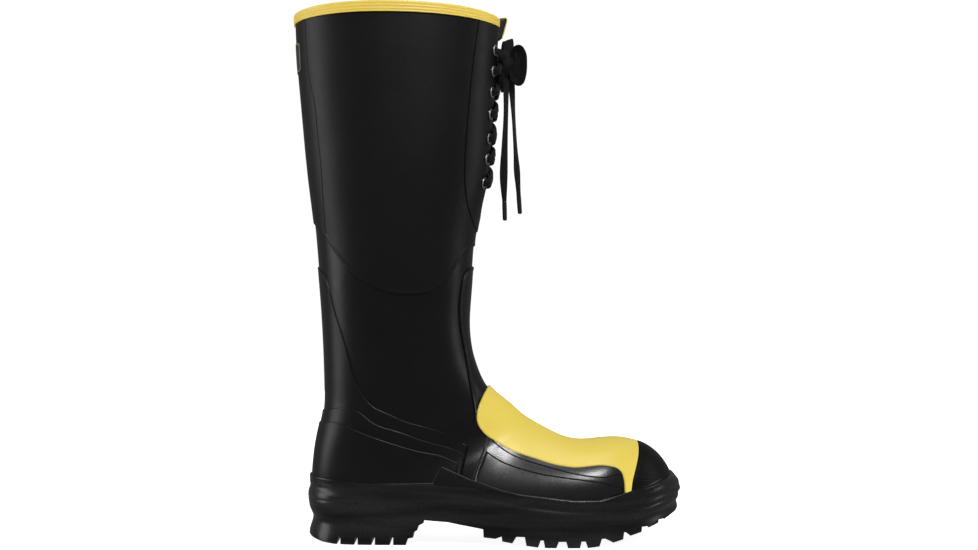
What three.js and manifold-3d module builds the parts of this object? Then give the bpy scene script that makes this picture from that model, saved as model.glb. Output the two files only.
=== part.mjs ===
// Tall lace-top rubber safety boot, right foot, in millimetres.
// +X points to the toe, -Y to the outer (lateral) side of the foot, +Z up; the tread stands on Z = 0.
import * as THREE from 'three';
import { mergeVertices } from 'three/addons/utils/BufferGeometryUtils.js';
import Module from 'manifold-3d';

const wasm = await Module();
wasm.setup();

// ---------------------------------------------------------------- driving dimensions
const GAP = 0.3; // clearance left between touching pieces
// Corners round each ring, in degrees from the front.
// The eyelets sit on the flat between the second and third.
const HALF_RING = [0, 8.5, 22.8, 43, 66, 90, 113, 136, 158, 180];
const OTHER_HALF = HALF_RING.slice(1, -1).reverse().map((a) => 360 - a);
const RING_ANGLES = [...HALF_RING, ...OTHER_HALF].map((a) => (a * Math.PI) / 180);
const SEGMENTS = RING_ANGLES.length;

// Depth of each layer, measured outward from the outer face of the rubber shell.
const LAYER = {
  shell: [-2.6, 0],
  padding: [-4.6, -2.9],
  lining: [-6.4, -4.9],
  gusset: [-9.2, -8.0],
  overlay1: [0.3, 1.0],
  overlay2: [1.3, 1.9],
  overlay3: [2.2, 2.8],
  backstay: [0.3, 1.1],
  backPatch: [1.4, 1.9],
  vampUpper: [1.3, 2.0],
  cover: [2.3, 3.3],
  toeCover: [1.3, 3.7],
  facing: [0.3, 1.7],
  foxing: [0.3, 4.3],
  bumper: [4.6, 6.2],
};

// Rings of the boot from the leg opening down round the heel and out to the toe:
// [front x, front z, back x, back z, half width, centre y, widest point 0..1, front roundness, back roundness]
const STATIONS = [
  [8.3, 438.0, -163.4, 441.5, 56.0, 0.0, 0.5, 2.5, 2.1],
  [5.8, 396.0, -160.9, 396.0, 56.0, 0.0, 0.5, 2.7, 2.1],
  [2.1, 345.0, -156.6, 348.0, 55.5, 0.0, 0.5, 2.7, 2.1],
  [-3.2, 295.0, -151.6, 297.0, 54.5, 0.0, 0.5, 2.5, 2.1],
  [-11.5, 257.0, -147.0, 262.0, 53.0, 0.0, 0.5, 2.2, 2.1],
  [-15.2, 215.0, -144.0, 222.0, 50.5, 0.0, 0.5, 2.1, 2.1],
  [-17.0, 186.0, -141.2, 188.0, 48.0, 0.0, 0.5, 2.1, 2.1],
  [-15.8, 162.0, -139.6, 156.0, 46.0, 0.0, 0.5, 2.1, 2.1],
  [-11.5, 146.0, -138.8, 128.0, 44.5, 0.0, 0.52, 2.1, 2.1],
  [-3.4, 128.5, -139.6, 106.0, 43.0, 0.0, 0.54, 2.1, 2.15],
  [6.0, 118.8, -144.2, 84.0, 41.6, 0.0, 0.56, 2.1, 2.2],
  [17.2, 109.8, -147.2, 60.0, 40.4, 0.0, 0.58, 2.1, 2.25],
  [26.3, 101.6, -145.5, 40.0, 39.6, 0.0, 0.61, 2.1, 2.3],
  [34.5, 96.2, -133.0, 29.5, 39.4, -0.4, 0.64, 2.1, 2.6],
  [41.8, 92.2, -104.0, 28.5, 39.0, -1.6, 0.68, 2.1, 2.9],
  [51.0, 87.4, -69.0, 28.0, 38.8, -3.0, 0.71, 2.1, 3.1],
  [61.3, 83.0, -30.0, 25.0, 41.2, -4.2, 0.73, 2.1, 3.2],
  [72.0, 80.3, 10.0, 20.5, 45.6, -4.3, 0.74, 2.15, 3.3],
  [84.0, 79.8, 45.0, 17.0, 49.6, -3.0, 0.74, 2.2, 3.3],
  [96.0, 80.8, 72.0, 15.8, 51.2, -1.3, 0.73, 2.25, 3.3],
  [108.0, 81.2, 93.0, 16.4, 49.4, 0.0, 0.71, 2.25, 3.2],
  [119.0, 79.6, 111.5, 18.5, 45.8, 2.8, 0.69, 2.2, 3.0],
  [130.5, 75.6, 127.5, 21.5, 39.4, 4.7, 0.66, 2.2, 2.8],
  [141.0, 68.2, 140.0, 25.5, 31.0, 7.0, 0.62, 2.15, 2.5],
  [148.6, 58.4, 148.4, 30.0, 22.0, 8.6, 0.58, 2.1, 2.3],
  [153.0, 50.0, 152.8, 34.5, 12.5, 9.6, 0.54, 2.05, 2.1],
];
const TOE_TIP = { x: 155.4, y: 9.8, z: 42.3 };

// Underside of the lasted upper, where the sole parts sit: [x, z].
const FEATHER = [
  [-170, 29.5], [-133, 29.5], [-104, 28.5], [-69, 28], [-30, 25], [10, 20.5], [45, 17], [72, 15.8],
  [93, 16.4], [111.5, 18.5], [127.5, 21.5], [140, 25.5], [148.4, 30], [170, 38],
];

// Plan outline of the sole, starting at the back of the heel and running along the outer side: [x, y].
const SOLE_OUTLINE = [
  [-153.6, 0], [-147, -21.5], [-129, -37], [-100, -42.5], [-65, -43.5], [-30, -45.5], [5, -50.5],
  [40, -56], [72, -57.2], [100, -53.2], [125, -41], [146, -22], [158.5, -3], [162.6, 11], [158.5, 26],
  [145, 40], [122, 50.5], [95, 54], [60, 51.5], [25, 44.5], [-10, 37.5], [-45, 35.5], [-80, 38.5],
  [-112, 40.5], [-137, 31.5], [-149, 17.5],
];
const SOLE_SAMPLES = 42;

// Heights along the sole: lug faces, sidewall ridge and top edge of the foxing, all [x, z].
const LUG_FACE = [
  [-170, 8], [-153.6, 4.6], [-147, 2.4], [-138, 0.8], [-128, 0], [-60, 0], [-30, 4], [-4.4, 7.2],
  [5.2, 6.4], [10.8, 4.4], [19, 3.1], [30.5, 1.4], [39.9, 0.3], [45, 0], [80, 0], [90, 1.1], [101.5, 3.7],
  [109.8, 5.8], [116, 8.2], [125.7, 10.3], [131, 12.7], [141, 15.6], [146.5, 17.5], [153.8, 20.4],
  [158, 21.8], [161, 24], [172, 26],
];
const RIDGE = [
  [-170, 36], [-100, 35], [-60, 33], [-20, 29.5], [20, 25], [60, 22.5], [90, 23.5], [120, 28.5],
  [145, 34], [163, 37.5], [172, 38.5],
];
const FOXING_TOP = [
  [-172, 55], [-150, 54.5], [-106, 50.4], [-46, 51.6], [-11, 49.6], [26, 42.9], [70, 38.4], [91, 38.6],
  [109, 43], [135, 50.5], [153.9, 56.3], [172, 60],
];

// Cross channels between the forepart lugs:
// [left x, left z, left root x, right root x, root z, right x, right z].
const CHANNELS = [
  [5.2, 6.4, 9.9, 10.3, 8.2, 10.8, 4.4],
  [19.0, 3.1, 22.3, 29.1, 8.4, 30.5, 1.4],
  [39.9, 0.3, 42.1, 44.6, 6.0, 45.6, 0.0],
  [54.7, 0.0, 56.8, 63.2, 5.0, 64.2, 0.0],
  [74.0, 0.0, 75.3, 79.0, 5.2, 80.4, 0.1],
  [90.0, 1.1, 91.9, 95.0, 7.1, 101.5, 3.7],
  [109.8, 5.8, 110.6, 112.0, 11.4, 116.0, 8.2],
  [125.7, 10.3, 126.2, 131.0, 14.3, 133.0, 11.6],
  [141.1, 15.6, 141.5, 146.0, 18.2, 147.6, 16.4],
];
// Underside between the heel and the forepart: the stepped heel breast and the arched waist, [x, z].
const WAIST_CUT = [
  [-68.5, 0], [-66.5, 5.3], [-62.4, 6.1], [-62.4, 10.2], [-59.1, 11.9], [-57.5, 16], [-53.8, 18],
  [-53.4, 20.4], [-33.7, 19], [-23.8, 17], [-4.9, 13.8], [-4.4, 7.2],
];
const HEEL_GROOVES = { xs: [-124, -109.6, -95.3, -80.2], width: 2.6, depth: 6 };
const CENTRE_GROOVE = { halfWidth: 2.2, y: -1, depth: 4.2 };

// Edges of the rubber pieces as seen square-on from the side, [x, z].
const LEG_EDGE = [
  [-175, 278], [-148, 266], [-134, 251], [-124.6, 237], [-110.5, 222], [-101.9, 216], [-85.5, 208.3],
  [-72.9, 206], [-54, 206.5], [-41.5, 212], [-31.8, 222], [-24.5, 234.6], [-19.8, 241.8], [-12.6, 246.4],
  [20, 249],
];
const FACING_REAR = [
  [-9.1, 429.8], [-14.2, 392], [-17.1, 361.8], [-20, 324], [-20.7, 300.8], [-19.6, 286], [-17.1, 274.3],
  [-11, 257.5],
];
const BACKSTAY_EDGE = [
  [-151.8, 433], [-149.5, 399], [-147, 381], [-142.9, 362], [-140.8, 339.5], [-138.3, 317],
  [-135.8, 275.6], [-134.5, 256],
];
const BACK_PATCH = [[-180, 392], [-157, 392], [-155.6, 394], [-156.6, 415], [-158, 417], [-180, 417]];
const ANKLE_LINE = [
  [-160, 232], [-145.7, 229.7], [-136, 219.5], [-131.5, 207], [-127.5, 191.7], [-119.7, 168.7],
  [-114, 148.2], [-108.6, 132.7], [-100.8, 119.6], [-93.4, 113], [-78.7, 106.4], [-68, 101.5],
  [-56.5, 98.3], [-39.3, 92.6], [-31.1, 88.5], [-24, 83],
];
const COUNTER_LINE = [
  [-160, 107], [-142, 107.6], [-126, 111.5], [-109.8, 111], [-97.5, 102.4], [-87.7, 97.4], [-71.3, 92.5],
  [-56.5, 86.8], [-32.7, 79.6], [-21.3, 74.7],
];
const HEEL_CUP_LINE = [
  [-165, 92], [-145, 96.5], [-130, 99.8], [-118.4, 97.9], [-104.9, 92.5], [-78.6, 83.5], [-56.5, 77],
  [-39.3, 73], [-28, 68],
];
const SHANK_PATCH = [
  [-26, 64.6], [-27.8, 58.3], [-14.7, 53.6], [-6.5, 51.1], [10.6, 45.6], [30, 41.5], [30, 20], [-50, 20],
  [-46.1, 52.2], [-39.9, 64.6],
];
const VAMP_REAR = [[-13.9, 40], [-13.9, 54.4], [-6.9, 73], [-4.3, 80.1], [-1.9, 88]];
const VAMP_LOWER_LINE = [
  [-4.5, 76.5], [-1.6, 74.2], [10.6, 66.8], [27, 61.3], [41.6, 57.9], [57.9, 55.5], [75, 53.5],
  [91.3, 51.8],
];
const VAMP_UPPER_LINE = [[2.5, 83], [18.9, 72], [41.7, 64.4], [55.6, 61], [75.2, 57], [95, 55]];
const INSTEP_COVER = [
  [0.3, 150], [0.3, 129.9], [-4.5, 123], [-9.2, 113], [-10.8, 104.8], [-9.5, 97.6], [-3.6, 89.5],
  [5, 83.2], [19, 75.3], [41.9, 67.9], [54.1, 64.6], [67.2, 62.8], [75.3, 62.8], [91.8, 64.3],
  [98.7, 63.7], [104.6, 62.1], [108.7, 57.6], [110.2, 50.5], [110.5, 20], [115.7, 20], [115.9, 43.6],
  [117.5, 53.4], [122.4, 66.7], [125.2, 75.9], [125.2, 110],
];
const TOE_COVER_REAR = [[116.2, 20], [116.4, 43.6], [118, 53.4], [122.9, 66.7], [125.6, 75.9], [125.6, 110]];
const SHIN_STRIP = [
  [20, 232], [-13, 229.9], [-20, 224], [-22.8, 216], [-24.6, 205], [-25.5, 190], [-23.6, 172],
  [-20.9, 158], [-17.5, 137], [-12, 139], [20, 160],
];
const QUARTER_FRONT = [[20, 118], [-3, 117], [-13, 107.3], [-14.5, 89.7], [-14.9, 76], [-16, 40], [-16, 0]];

// Throat opening, lacing and trim.
const SLIT = { half: 11.5, roundZ: 288, bottomZ: 272 };
const LINING_THROAT = { half: 30, bottomZ: 258 };
const GUSSET = { half: 37, topZ: 427.5, bottomZ: 249 };
const EYELET = { y: 18.6, inner: 2.7, barrel: 3.3, flange: 4.8, clearance: 3.6 };
const EYELET_Z = [410, 392.5, 375, 356.5, 336, 319, 299.3];
const BINDING = { height: 7.8, thickness: 1.3, top: 1.6 };
const LACE_RADIUS = 1.5;
const LACE_OVER = 4.5; // height of the lace's middle line over the shell where it lies on a facing
const LACE_UNDER = -5.4; // and where it lies behind one
const CROSSING_LEVEL = 0.4; // height over the shell of the level two strands share where they cross
const LACE_CROSSING = 1.9; // each of two crossing strands keeps this far from that level
const KNOT = { x: 17, y: 0, z: 400, size: [9.6, 14, 11] };
const KNOT_TAIL_IN = 3.2; // the lacing meets the knot this far behind its middle
const AGLET = { radius: 1.9, length: 16 };
const PLATE = { inset: 13, thickness: 1.4 };
const SHANK = { xs: [-92, 16], y: -2, halfWidth: 11, thickness: 2.2 };
const INSOLE_BOARD = { inset: 9.5, low: 6.8, high: 8.2 };
const INSOLE = { inset: 9, low: 8.5, high: 13 };

const COLOURS = {
  rubber: 0x161616,
  yellow: 0xe2cb55,
  binding: 0xd9b347,
  cloth: 0x24262a,
  metal: 0xb9bcc0,
  steel: 0x8d9196,
  foam: 0x5a5f66,
  board: 0x8a6b45,
  lace: 0x101010,
};

// ---------------------------------------------------------------- curves and solids
/** Height of a polyline of [x, z] points at one x. */
function heightAt(line, x) {
  let i = 0;
  while (i < line.length - 2 && x > line[i + 1][0]) i += 1;
  const [x0, z0] = line[i];
  const [x1, z1] = line[i + 1];
  const k = Math.min(1, Math.max(0, (x - x0) / (x1 - x0)));
  return z0 + (z1 - z0) * k;
}

/** A closed manifold from vertices and triangles, turned inside out if its volume comes out negative. */
function closedSolid(vertices, triangles) {
  let volume = 0;
  for (const [a, b, c] of triangles) {
    volume += vertices[a].dot(new THREE.Vector3().crossVectors(vertices[b], vertices[c]));
  }
  const flat = volume < 0 ? triangles.map(([a, b, c]) => [a, c, b]) : triangles;
  const mesh = new wasm.Mesh({
    numProp: 3,
    vertProperties: new Float32Array(vertices.flatMap((v) => [v.x, v.y, v.z])),
    triVerts: new Uint32Array(flat.flat()),
  });
  return new wasm.Manifold(mesh);
}

/** A manifold from a closed three.js geometry. */
function fromGeometry(geometry) {
  const bare = geometry.clone();
  bare.deleteAttribute('normal');
  bare.deleteAttribute('uv');
  const merged = mergeVertices(bare, 1e-4);
  const position = merged.getAttribute('position');
  const vertices = [];
  for (let i = 0; i < position.count; i += 1) {
    vertices.push(new THREE.Vector3().fromBufferAttribute(position, i));
  }
  const index = Array.from(merged.index.array);
  const triangles = [];
  for (let i = 0; i < index.length; i += 3) {
    const [a, b, c] = [index[i], index[i + 1], index[i + 2]];
    if (a !== b && b !== c && a !== c) triangles.push([a, b, c]);
  }
  return closedSolid(vertices, triangles);
}

/** One ring's dimensions at a fractional station, by Catmull-Rom between the rows of STATIONS. */
function ringAt(t) {
  const last = STATIONS.length - 1;
  const i = Math.min(last - 1, Math.max(0, Math.floor(t)));
  const k = t - i;
  const rows = [i - 1, i, i + 1, i + 2].map((j) => STATIONS[Math.min(last, Math.max(0, j))]);
  return rows[1].map((_, c) => {
    const [a, b, d, e] = rows.map((row) => row[c]);
    return 0.5 * (2 * b + (d - a) * k + (2 * a - 5 * b + 4 * d - e) * k * k + (3 * b - a - 3 * d + e) * k ** 3);
  });
}

/** A point of the shell's outer face: t is the station, angle 0 the front, a quarter turn the inner side. */
function surfacePoint(t, angle) {
  const [frontX, frontZ, backX, backZ, half, centreY, widest, roundFront, roundBack] = ringAt(t);
  const axis = new THREE.Vector3(frontX - backX, 0, frontZ - backZ);
  const centre = new THREE.Vector3(frontX, centreY, frontZ).addScaledVector(axis, -widest);
  const c = Math.cos(angle);
  const s = Math.sin(angle);
  const power = 2 / (c >= 0 ? roundFront : roundBack);
  const along = Math.sign(c) * Math.abs(c) ** power * (c >= 0 ? widest : 1 - widest);
  const across = Math.sign(s) * Math.abs(s) ** power * half;
  return centre.addScaledVector(axis, along).add(new THREE.Vector3(0, across, 0));
}

/** The same point moved outward along the surface normal. */
function offsetPoint(t, angle, distance) {
  const step = 0.02;
  const last = STATIONS.length - 1;
  const alongT = surfacePoint(Math.min(last, t + step), angle);
  alongT.sub(surfacePoint(Math.max(0, t - step), angle));
  const alongA = surfacePoint(t, angle + step).sub(surfacePoint(t, angle - step));
  const normal = new THREE.Vector3().crossVectors(alongA, alongT).normalize();
  return surfacePoint(t, angle).addScaledVector(normal, -distance * NORMAL_SIGN);
}
const NORMAL_SIGN = (() => {
  const outward = surfacePoint(3.1, 0).sub(surfacePoint(2.9, 0));
  const round = surfacePoint(3, 0.02).sub(surfacePoint(3, -0.02));
  return new THREE.Vector3().crossVectors(round, outward).x > 0 ? -1 : 1;
})();

/** Vertices of the whole sock surface at one offset, ring by ring, with the toe tip last. */
function sockVertices(distance) {
  const vertices = [];
  for (let t = 0; t < STATIONS.length; t += 1) {
    for (const angle of RING_ANGLES) vertices.push(offsetPoint(t, angle, distance));
  }
  vertices.push(new THREE.Vector3(TOE_TIP.x + distance, TOE_TIP.y, TOE_TIP.z));
  return vertices;
}

/** Triangles of the sock grid whose first vertex is at base; inside out when inward is set. */
function sockTriangles(base, inward) {
  const rings = STATIONS.length;
  const triangles = [];
  const push = (a, b, c) => triangles.push(inward ? [a, c, b] : [a, b, c]);
  for (let i = 0; i < rings - 1; i += 1) {
    for (let j = 0; j < SEGMENTS; j += 1) {
      const a = base + i * SEGMENTS + j;
      const b = base + i * SEGMENTS + ((j + 1) % SEGMENTS);
      push(a, a + SEGMENTS, b);
      push(b, a + SEGMENTS, b + SEGMENTS);
    }
  }
  const tip = base + rings * SEGMENTS;
  for (let j = 0; j < SEGMENTS; j += 1) {
    push(tip - SEGMENTS + j, tip, tip - SEGMENTS + ((j + 1) % SEGMENTS));
  }
  return triangles;
}

/** The layer between two offsets of the boot surface, open at the leg. */
function shell([inner, outer]) {
  const outside = sockVertices(outer);
  const inside = sockVertices(inner);
  const triangles = [...sockTriangles(0, false), ...sockTriangles(outside.length, true)];
  for (let j = 0; j < SEGMENTS; j += 1) {
    const next = (j + 1) % SEGMENTS;
    triangles.push([j, next, outside.length + j], [next, outside.length + next, outside.length + j]);
  }
  return closedSolid([...outside, ...inside], triangles);
}

/** The boot surface at one offset, filled solid. */
function filledSock(distance) {
  const vertices = sockVertices(distance);
  const triangles = sockTriangles(0, false);
  const centre = vertices.length;
  vertices.push(surfacePoint(0, 0).add(surfacePoint(0, Math.PI)).multiplyScalar(0.5));
  for (let j = 0; j < SEGMENTS; j += 1) triangles.push([j, (j + 1) % SEGMENTS, centre]);
  return closedSolid(vertices, triangles);
}

/** A prism across the boot from a closed outline of [x, z] points, between two y values. */
function sidePrism(outline, yLow = -90, yHigh = 90) {
  const shape = new THREE.Shape(outline.map(([x, z]) => new THREE.Vector2(x, z)));
  const geometry = new THREE.ExtrudeGeometry(shape, { depth: yHigh - yLow, bevelEnabled: false });
  geometry.rotateX(Math.PI / 2);
  geometry.translate(0, yHigh, 0);
  return fromGeometry(geometry);
}

/** A prism along the boot from a closed outline of [y, z] points, between two x values. */
function frontPrism(outline, xLow, xHigh) {
  const shape = new THREE.Shape(outline.map(([y, z]) => new THREE.Vector2(y, z)));
  const geometry = new THREE.ExtrudeGeometry(shape, { depth: xHigh - xLow, bevelEnabled: false });
  geometry.rotateX(Math.PI / 2);
  geometry.rotateZ(Math.PI / 2);
  geometry.translate(xLow, 0, 0);
  return fromGeometry(geometry);
}

/** Everything below a line of [x, z] points, or above it when high is set. */
function halfSpace(line, high, shift = 0) {
  const edge = line.map(([x, z]) => [x, z + shift]);
  const [first, final] = [edge[0][0], edge.at(-1)[0]];
  const far = high ? 600 : -200;
  return sidePrism([...edge, [final, far], [first, far]]);
}

/** The plan outline of the sole, evenly sampled and moved inward by inset. */
function soleRing(inset) {
  const curve = new THREE.CatmullRomCurve3(SOLE_OUTLINE.map(([x, y]) => new THREE.Vector3(x, y, 0)), true);
  const ring = [];
  for (let i = 0; i < SOLE_SAMPLES; i += 1) {
    const u = i / SOLE_SAMPLES;
    const point = curve.getPointAt(u);
    const tangent = curve.getTangentAt(u);
    ring.push([point.x - tangent.y * inset, point.y + tangent.x * inset]);
  }
  return ring;
}

/** A solid stacked from sole outlines; each level is [inset(x), z(x)]. */
function soleStack(levels) {
  const base = soleRing(0);
  const vertices = [];
  for (const [insetAt, zAt] of levels) {
    const inset = base.map(([x]) => insetAt(x));
    const rings = new Map();
    for (const d of inset) if (!rings.has(d)) rings.set(d, soleRing(d));
    inset.forEach((d, i) => {
      const [x, y] = rings.get(d)[i];
      vertices.push(new THREE.Vector3(x, y, zAt(x)));
    });
  }
  const n = base.length;
  const triangles = [];
  for (let k = 0; k < levels.length - 1; k += 1) {
    for (let i = 0; i < n; i += 1) {
      const a = k * n + i;
      const b = k * n + ((i + 1) % n);
      triangles.push([a, b, a + n], [b, b + n, a + n]);
    }
  }
  const cap = THREE.ShapeUtils.triangulateShape(base.map(([x, y]) => new THREE.Vector2(x, y)), []);
  const top = (levels.length - 1) * n;
  const turned = THREE.ShapeUtils.area(base.map(([x, y]) => new THREE.Vector2(x, y))) < 0;
  for (const [a, b, c] of cap) {
    triangles.push(turned ? [a, b, c] : [a, c, b]);
    triangles.push(turned ? [top + a, top + c, top + b] : [top + a, top + b, top + c]);
  }
  return closedSolid(vertices, triangles);
}

/** A closed round tube along a path; sides facets round it. */
function tube(path, radius, steps, sides = 8) {
  const shape = new THREE.Shape();
  for (let i = 0; i < sides; i += 1) {
    const angle = (2 * Math.PI * i) / sides;
    const [x, y] = [radius * Math.cos(angle), radius * Math.sin(angle)];
    if (i === 0) shape.moveTo(x, y);
    else shape.lineTo(x, y);
  }
  return new THREE.ExtrudeGeometry(shape, { steps, bevelEnabled: false, extrudePath: path });
}

/** A path through points that keeps one step per piece of the curve, however long each piece is. */
class SteppedPath extends THREE.Curve {
  constructor(points) {
    super();
    this.curve = new THREE.CatmullRomCurve3(points, false, 'centripetal');
  }

  getPoint(t, target) {
    return this.curve.getPoint(t, target);
  }

  getPointAt(u, target) {
    return this.curve.getPoint(u, target);
  }

  getTangentAt(u, target) {
    return this.curve.getTangent(u, target);
  }
}

// ---------------------------------------------------------------- the part
const boot = new THREE.Group();
boot.name = 'boot';

function add(name, geometry, colour, finish = {}) {
  const bare = geometry.clone();
  bare.deleteAttribute('uv');
  const material = new THREE.MeshStandardMaterial({ color: colour, roughness: 0.5, metalness: 0, ...finish });
  const mesh = new THREE.Mesh(bare, material);
  mesh.name = name;
  boot.add(mesh);
}

/** Adds a manifold as one mesh, keeping its largest body if a cut left crumbs beside it. */
function addSolid(name, manifold, colour, finish) {
  const bodies = manifold.decompose().sort((a, b) => b.volume() - a.volume());
  const result = bodies[0].getMesh();
  const geometry = new THREE.BufferGeometry();
  geometry.setAttribute('position', new THREE.BufferAttribute(new Float32Array(result.vertProperties), 3));
  geometry.setIndex(new THREE.BufferAttribute(new Uint32Array(result.triVerts), 1));
  geometry.computeVertexNormals();
  add(name, geometry, colour, finish);
}

const METAL = { metalness: 1, roughness: 0.3 };
const belowFoxing = halfSpace(FOXING_TOP, false, GAP);
const throatSlit = frontPrism(
  [
    [-SLIT.half, 470], [-SLIT.half, SLIT.roundZ], [-SLIT.half * 0.7, SLIT.bottomZ + 5], [-3, SLIT.bottomZ],
    [3, SLIT.bottomZ], [SLIT.half * 0.7, SLIT.bottomZ + 5], [SLIT.half, SLIT.roundZ], [SLIT.half, 470],
  ],
  -50,
  50,
);
const liningThroat = frontPrism(
  [
    [-LINING_THROAT.half, 470], [-LINING_THROAT.half, LINING_THROAT.bottomZ],
    [LINING_THROAT.half, LINING_THROAT.bottomZ], [LINING_THROAT.half, 470],
  ],
  -45,
  50,
);

/** A point over the flat facets at the front of the leg, at a height and distance from the middle. */
function facetPoint(y, z, distance) {
  const side = y < 0 ? -1 : 1;
  const corner = (ring, k, away = 0) => offsetPoint(ring, side * RING_ANGLES[k], away);
  let ring = 0;
  while (corner(ring + 1, 1).z > z) ring += 1;
  const down = (z - corner(ring, 1).z) / (corner(ring + 1, 1).z - corner(ring, 1).z);
  let k = 0;
  while (Math.abs(corner(ring, k + 1).y) < Math.abs(y)) k += 1;
  const column = (corners, away) => corner(ring, corners, away).lerp(corner(ring + 1, corners, away), down);
  const [near, far] = [Math.abs(column(k).y), Math.abs(column(k + 1).y)];
  return column(k, distance).lerp(column(k + 1, distance), (Math.abs(y) - near) / (far - near));
}

/** Where one eyelet sits: its centre on the flat facet beside the slit, and the outward normal there. */
function eyeletSeat(z, side) {
  const position = facetPoint(side * EYELET.y, z, 0);
  const across = facetPoint(side * (EYELET.y + 2), z, 0).sub(position);
  const downward = facetPoint(side * EYELET.y, z - 2, 0).sub(position);
  const normal = new THREE.Vector3().crossVectors(downward, across).normalize();
  if (normal.x < 0) normal.negate();
  return { position, normal, y: side * EYELET.y, z };
}

const seats = EYELET_Z.map((z) => ({ lateral: eyeletSeat(z, -1), medial: eyeletSeat(z, 1) }));

/** A round body along a seat's normal from a lathe profile of [radius, height] points. */
function seatLathe(seat, profile, segments) {
  const geometry = new THREE.LatheGeometry(profile.map(([r, h]) => new THREE.Vector2(r, h)), segments);
  const turn = new THREE.Quaternion().setFromUnitVectors(new THREE.Vector3(0, 1, 0), seat.normal);
  geometry.applyQuaternion(turn);
  geometry.translate(seat.position.x, seat.position.y, seat.position.z);
  return geometry;
}

function eyeletHoles() {
  const profile = [[0, -6], [EYELET.clearance, -6], [EYELET.clearance, 5], [0, 5]];
  const every = seats.flatMap((pair) => [pair.lateral, pair.medial]);
  const holes = every.map((seat) => fromGeometry(seatLathe(seat, profile, 8)));
  return holes.reduce((all, hole) => all.add(hole));
}

function buildShell() {
  const rubber = shell(LAYER.shell);
  const holes = eyeletHoles();
  const above = halfSpace(LEG_EDGE, true, GAP / 2);
  const below = halfSpace(LEG_EDGE, false, -GAP / 2);
  const quarterEdge = QUARTER_FRONT.map(([x, z]) => [x - GAP / 2, z]);
  const vampEdge = QUARTER_FRONT.map(([x, z]) => [x + GAP / 2, z - (x > 0 ? GAP : 0)]);
  const behind = sidePrism([...quarterEdge, [-16, -60], [-200, -60], [-200, 300], [20, 300]]);
  const ahead = sidePrism([...vampEdge, [-15.7, -60], [200, -60], [200, 117.7]]);
  addSolid('leg_shaft', rubber.intersect(above).subtract(throatSlit).subtract(holes), COLOURS.rubber);
  addSolid('quarter', rubber.intersect(below).intersect(behind), COLOURS.rubber);
  addSolid('vamp_shell', rubber.intersect(ahead), COLOURS.rubber);
  return holes;
}

function buildInside() {
  const padding = shell(LAYER.padding);
  const toe = sidePrism([[106, 27], [200, 27], [200, 120], [106, 120]]);
  const instep = sidePrism([[14, 140], [14, 74], [40, 62], [105.6, 50], [105.6, 140]]);
  const heel = sidePrism([[-200, 34], [-72, 34], [-72, 96], [-200, 96]]);
  const leg = sidePrism([
    [-200, 96.4], [-71.6, 96.4], [-71.6, 90], [13.6, 90], [13.6, 140], [60, 470], [-200, 470],
  ]);
  const foot = sidePrism([
    [-200, 10], [200, 10], [200, 26.6], [105.6, 26.6], [105.6, 49.6], [40, 61.6], [13.6, 73.6],
    [13.6, 89.6], [-71.6, 89.6], [-71.6, 33.6], [-200, 33.6],
  ]);
  addSolid('steel_toe_cap', padding.intersect(toe), COLOURS.steel, METAL);
  addSolid('metatarsal_guard', padding.intersect(instep), COLOURS.foam);
  addSolid('heel_stiffener', padding.intersect(heel), COLOURS.foam);
  addSolid('leg_padding', padding.intersect(leg).subtract(liningThroat), COLOURS.foam);
  addSolid('foot_padding', padding.intersect(foot), COLOURS.foam);
  addSolid('lining', shell(LAYER.lining).subtract(liningThroat), COLOURS.cloth);
}

/** A plate that follows the underside of the upper between two heights, kept inside the sole outline. */
function featherPlate(inset, low, high) {
  const column = soleStack([[() => inset, () => -5], [() => inset, () => 90]]);
  return column.intersect(halfSpace(FEATHER, true, low)).intersect(halfSpace(FEATHER, false, high));
}

function buildInsole() {
  const cavity = filledSock(LAYER.lining[0] - GAP);
  const board = featherPlate(INSOLE_BOARD.inset, INSOLE_BOARD.low, INSOLE_BOARD.high);
  addSolid('insole_board', board.intersect(cavity), COLOURS.board);
  addSolid('insole', featherPlate(INSOLE.inset, INSOLE.low, INSOLE.high).intersect(cavity), COLOURS.foam);
}

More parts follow.
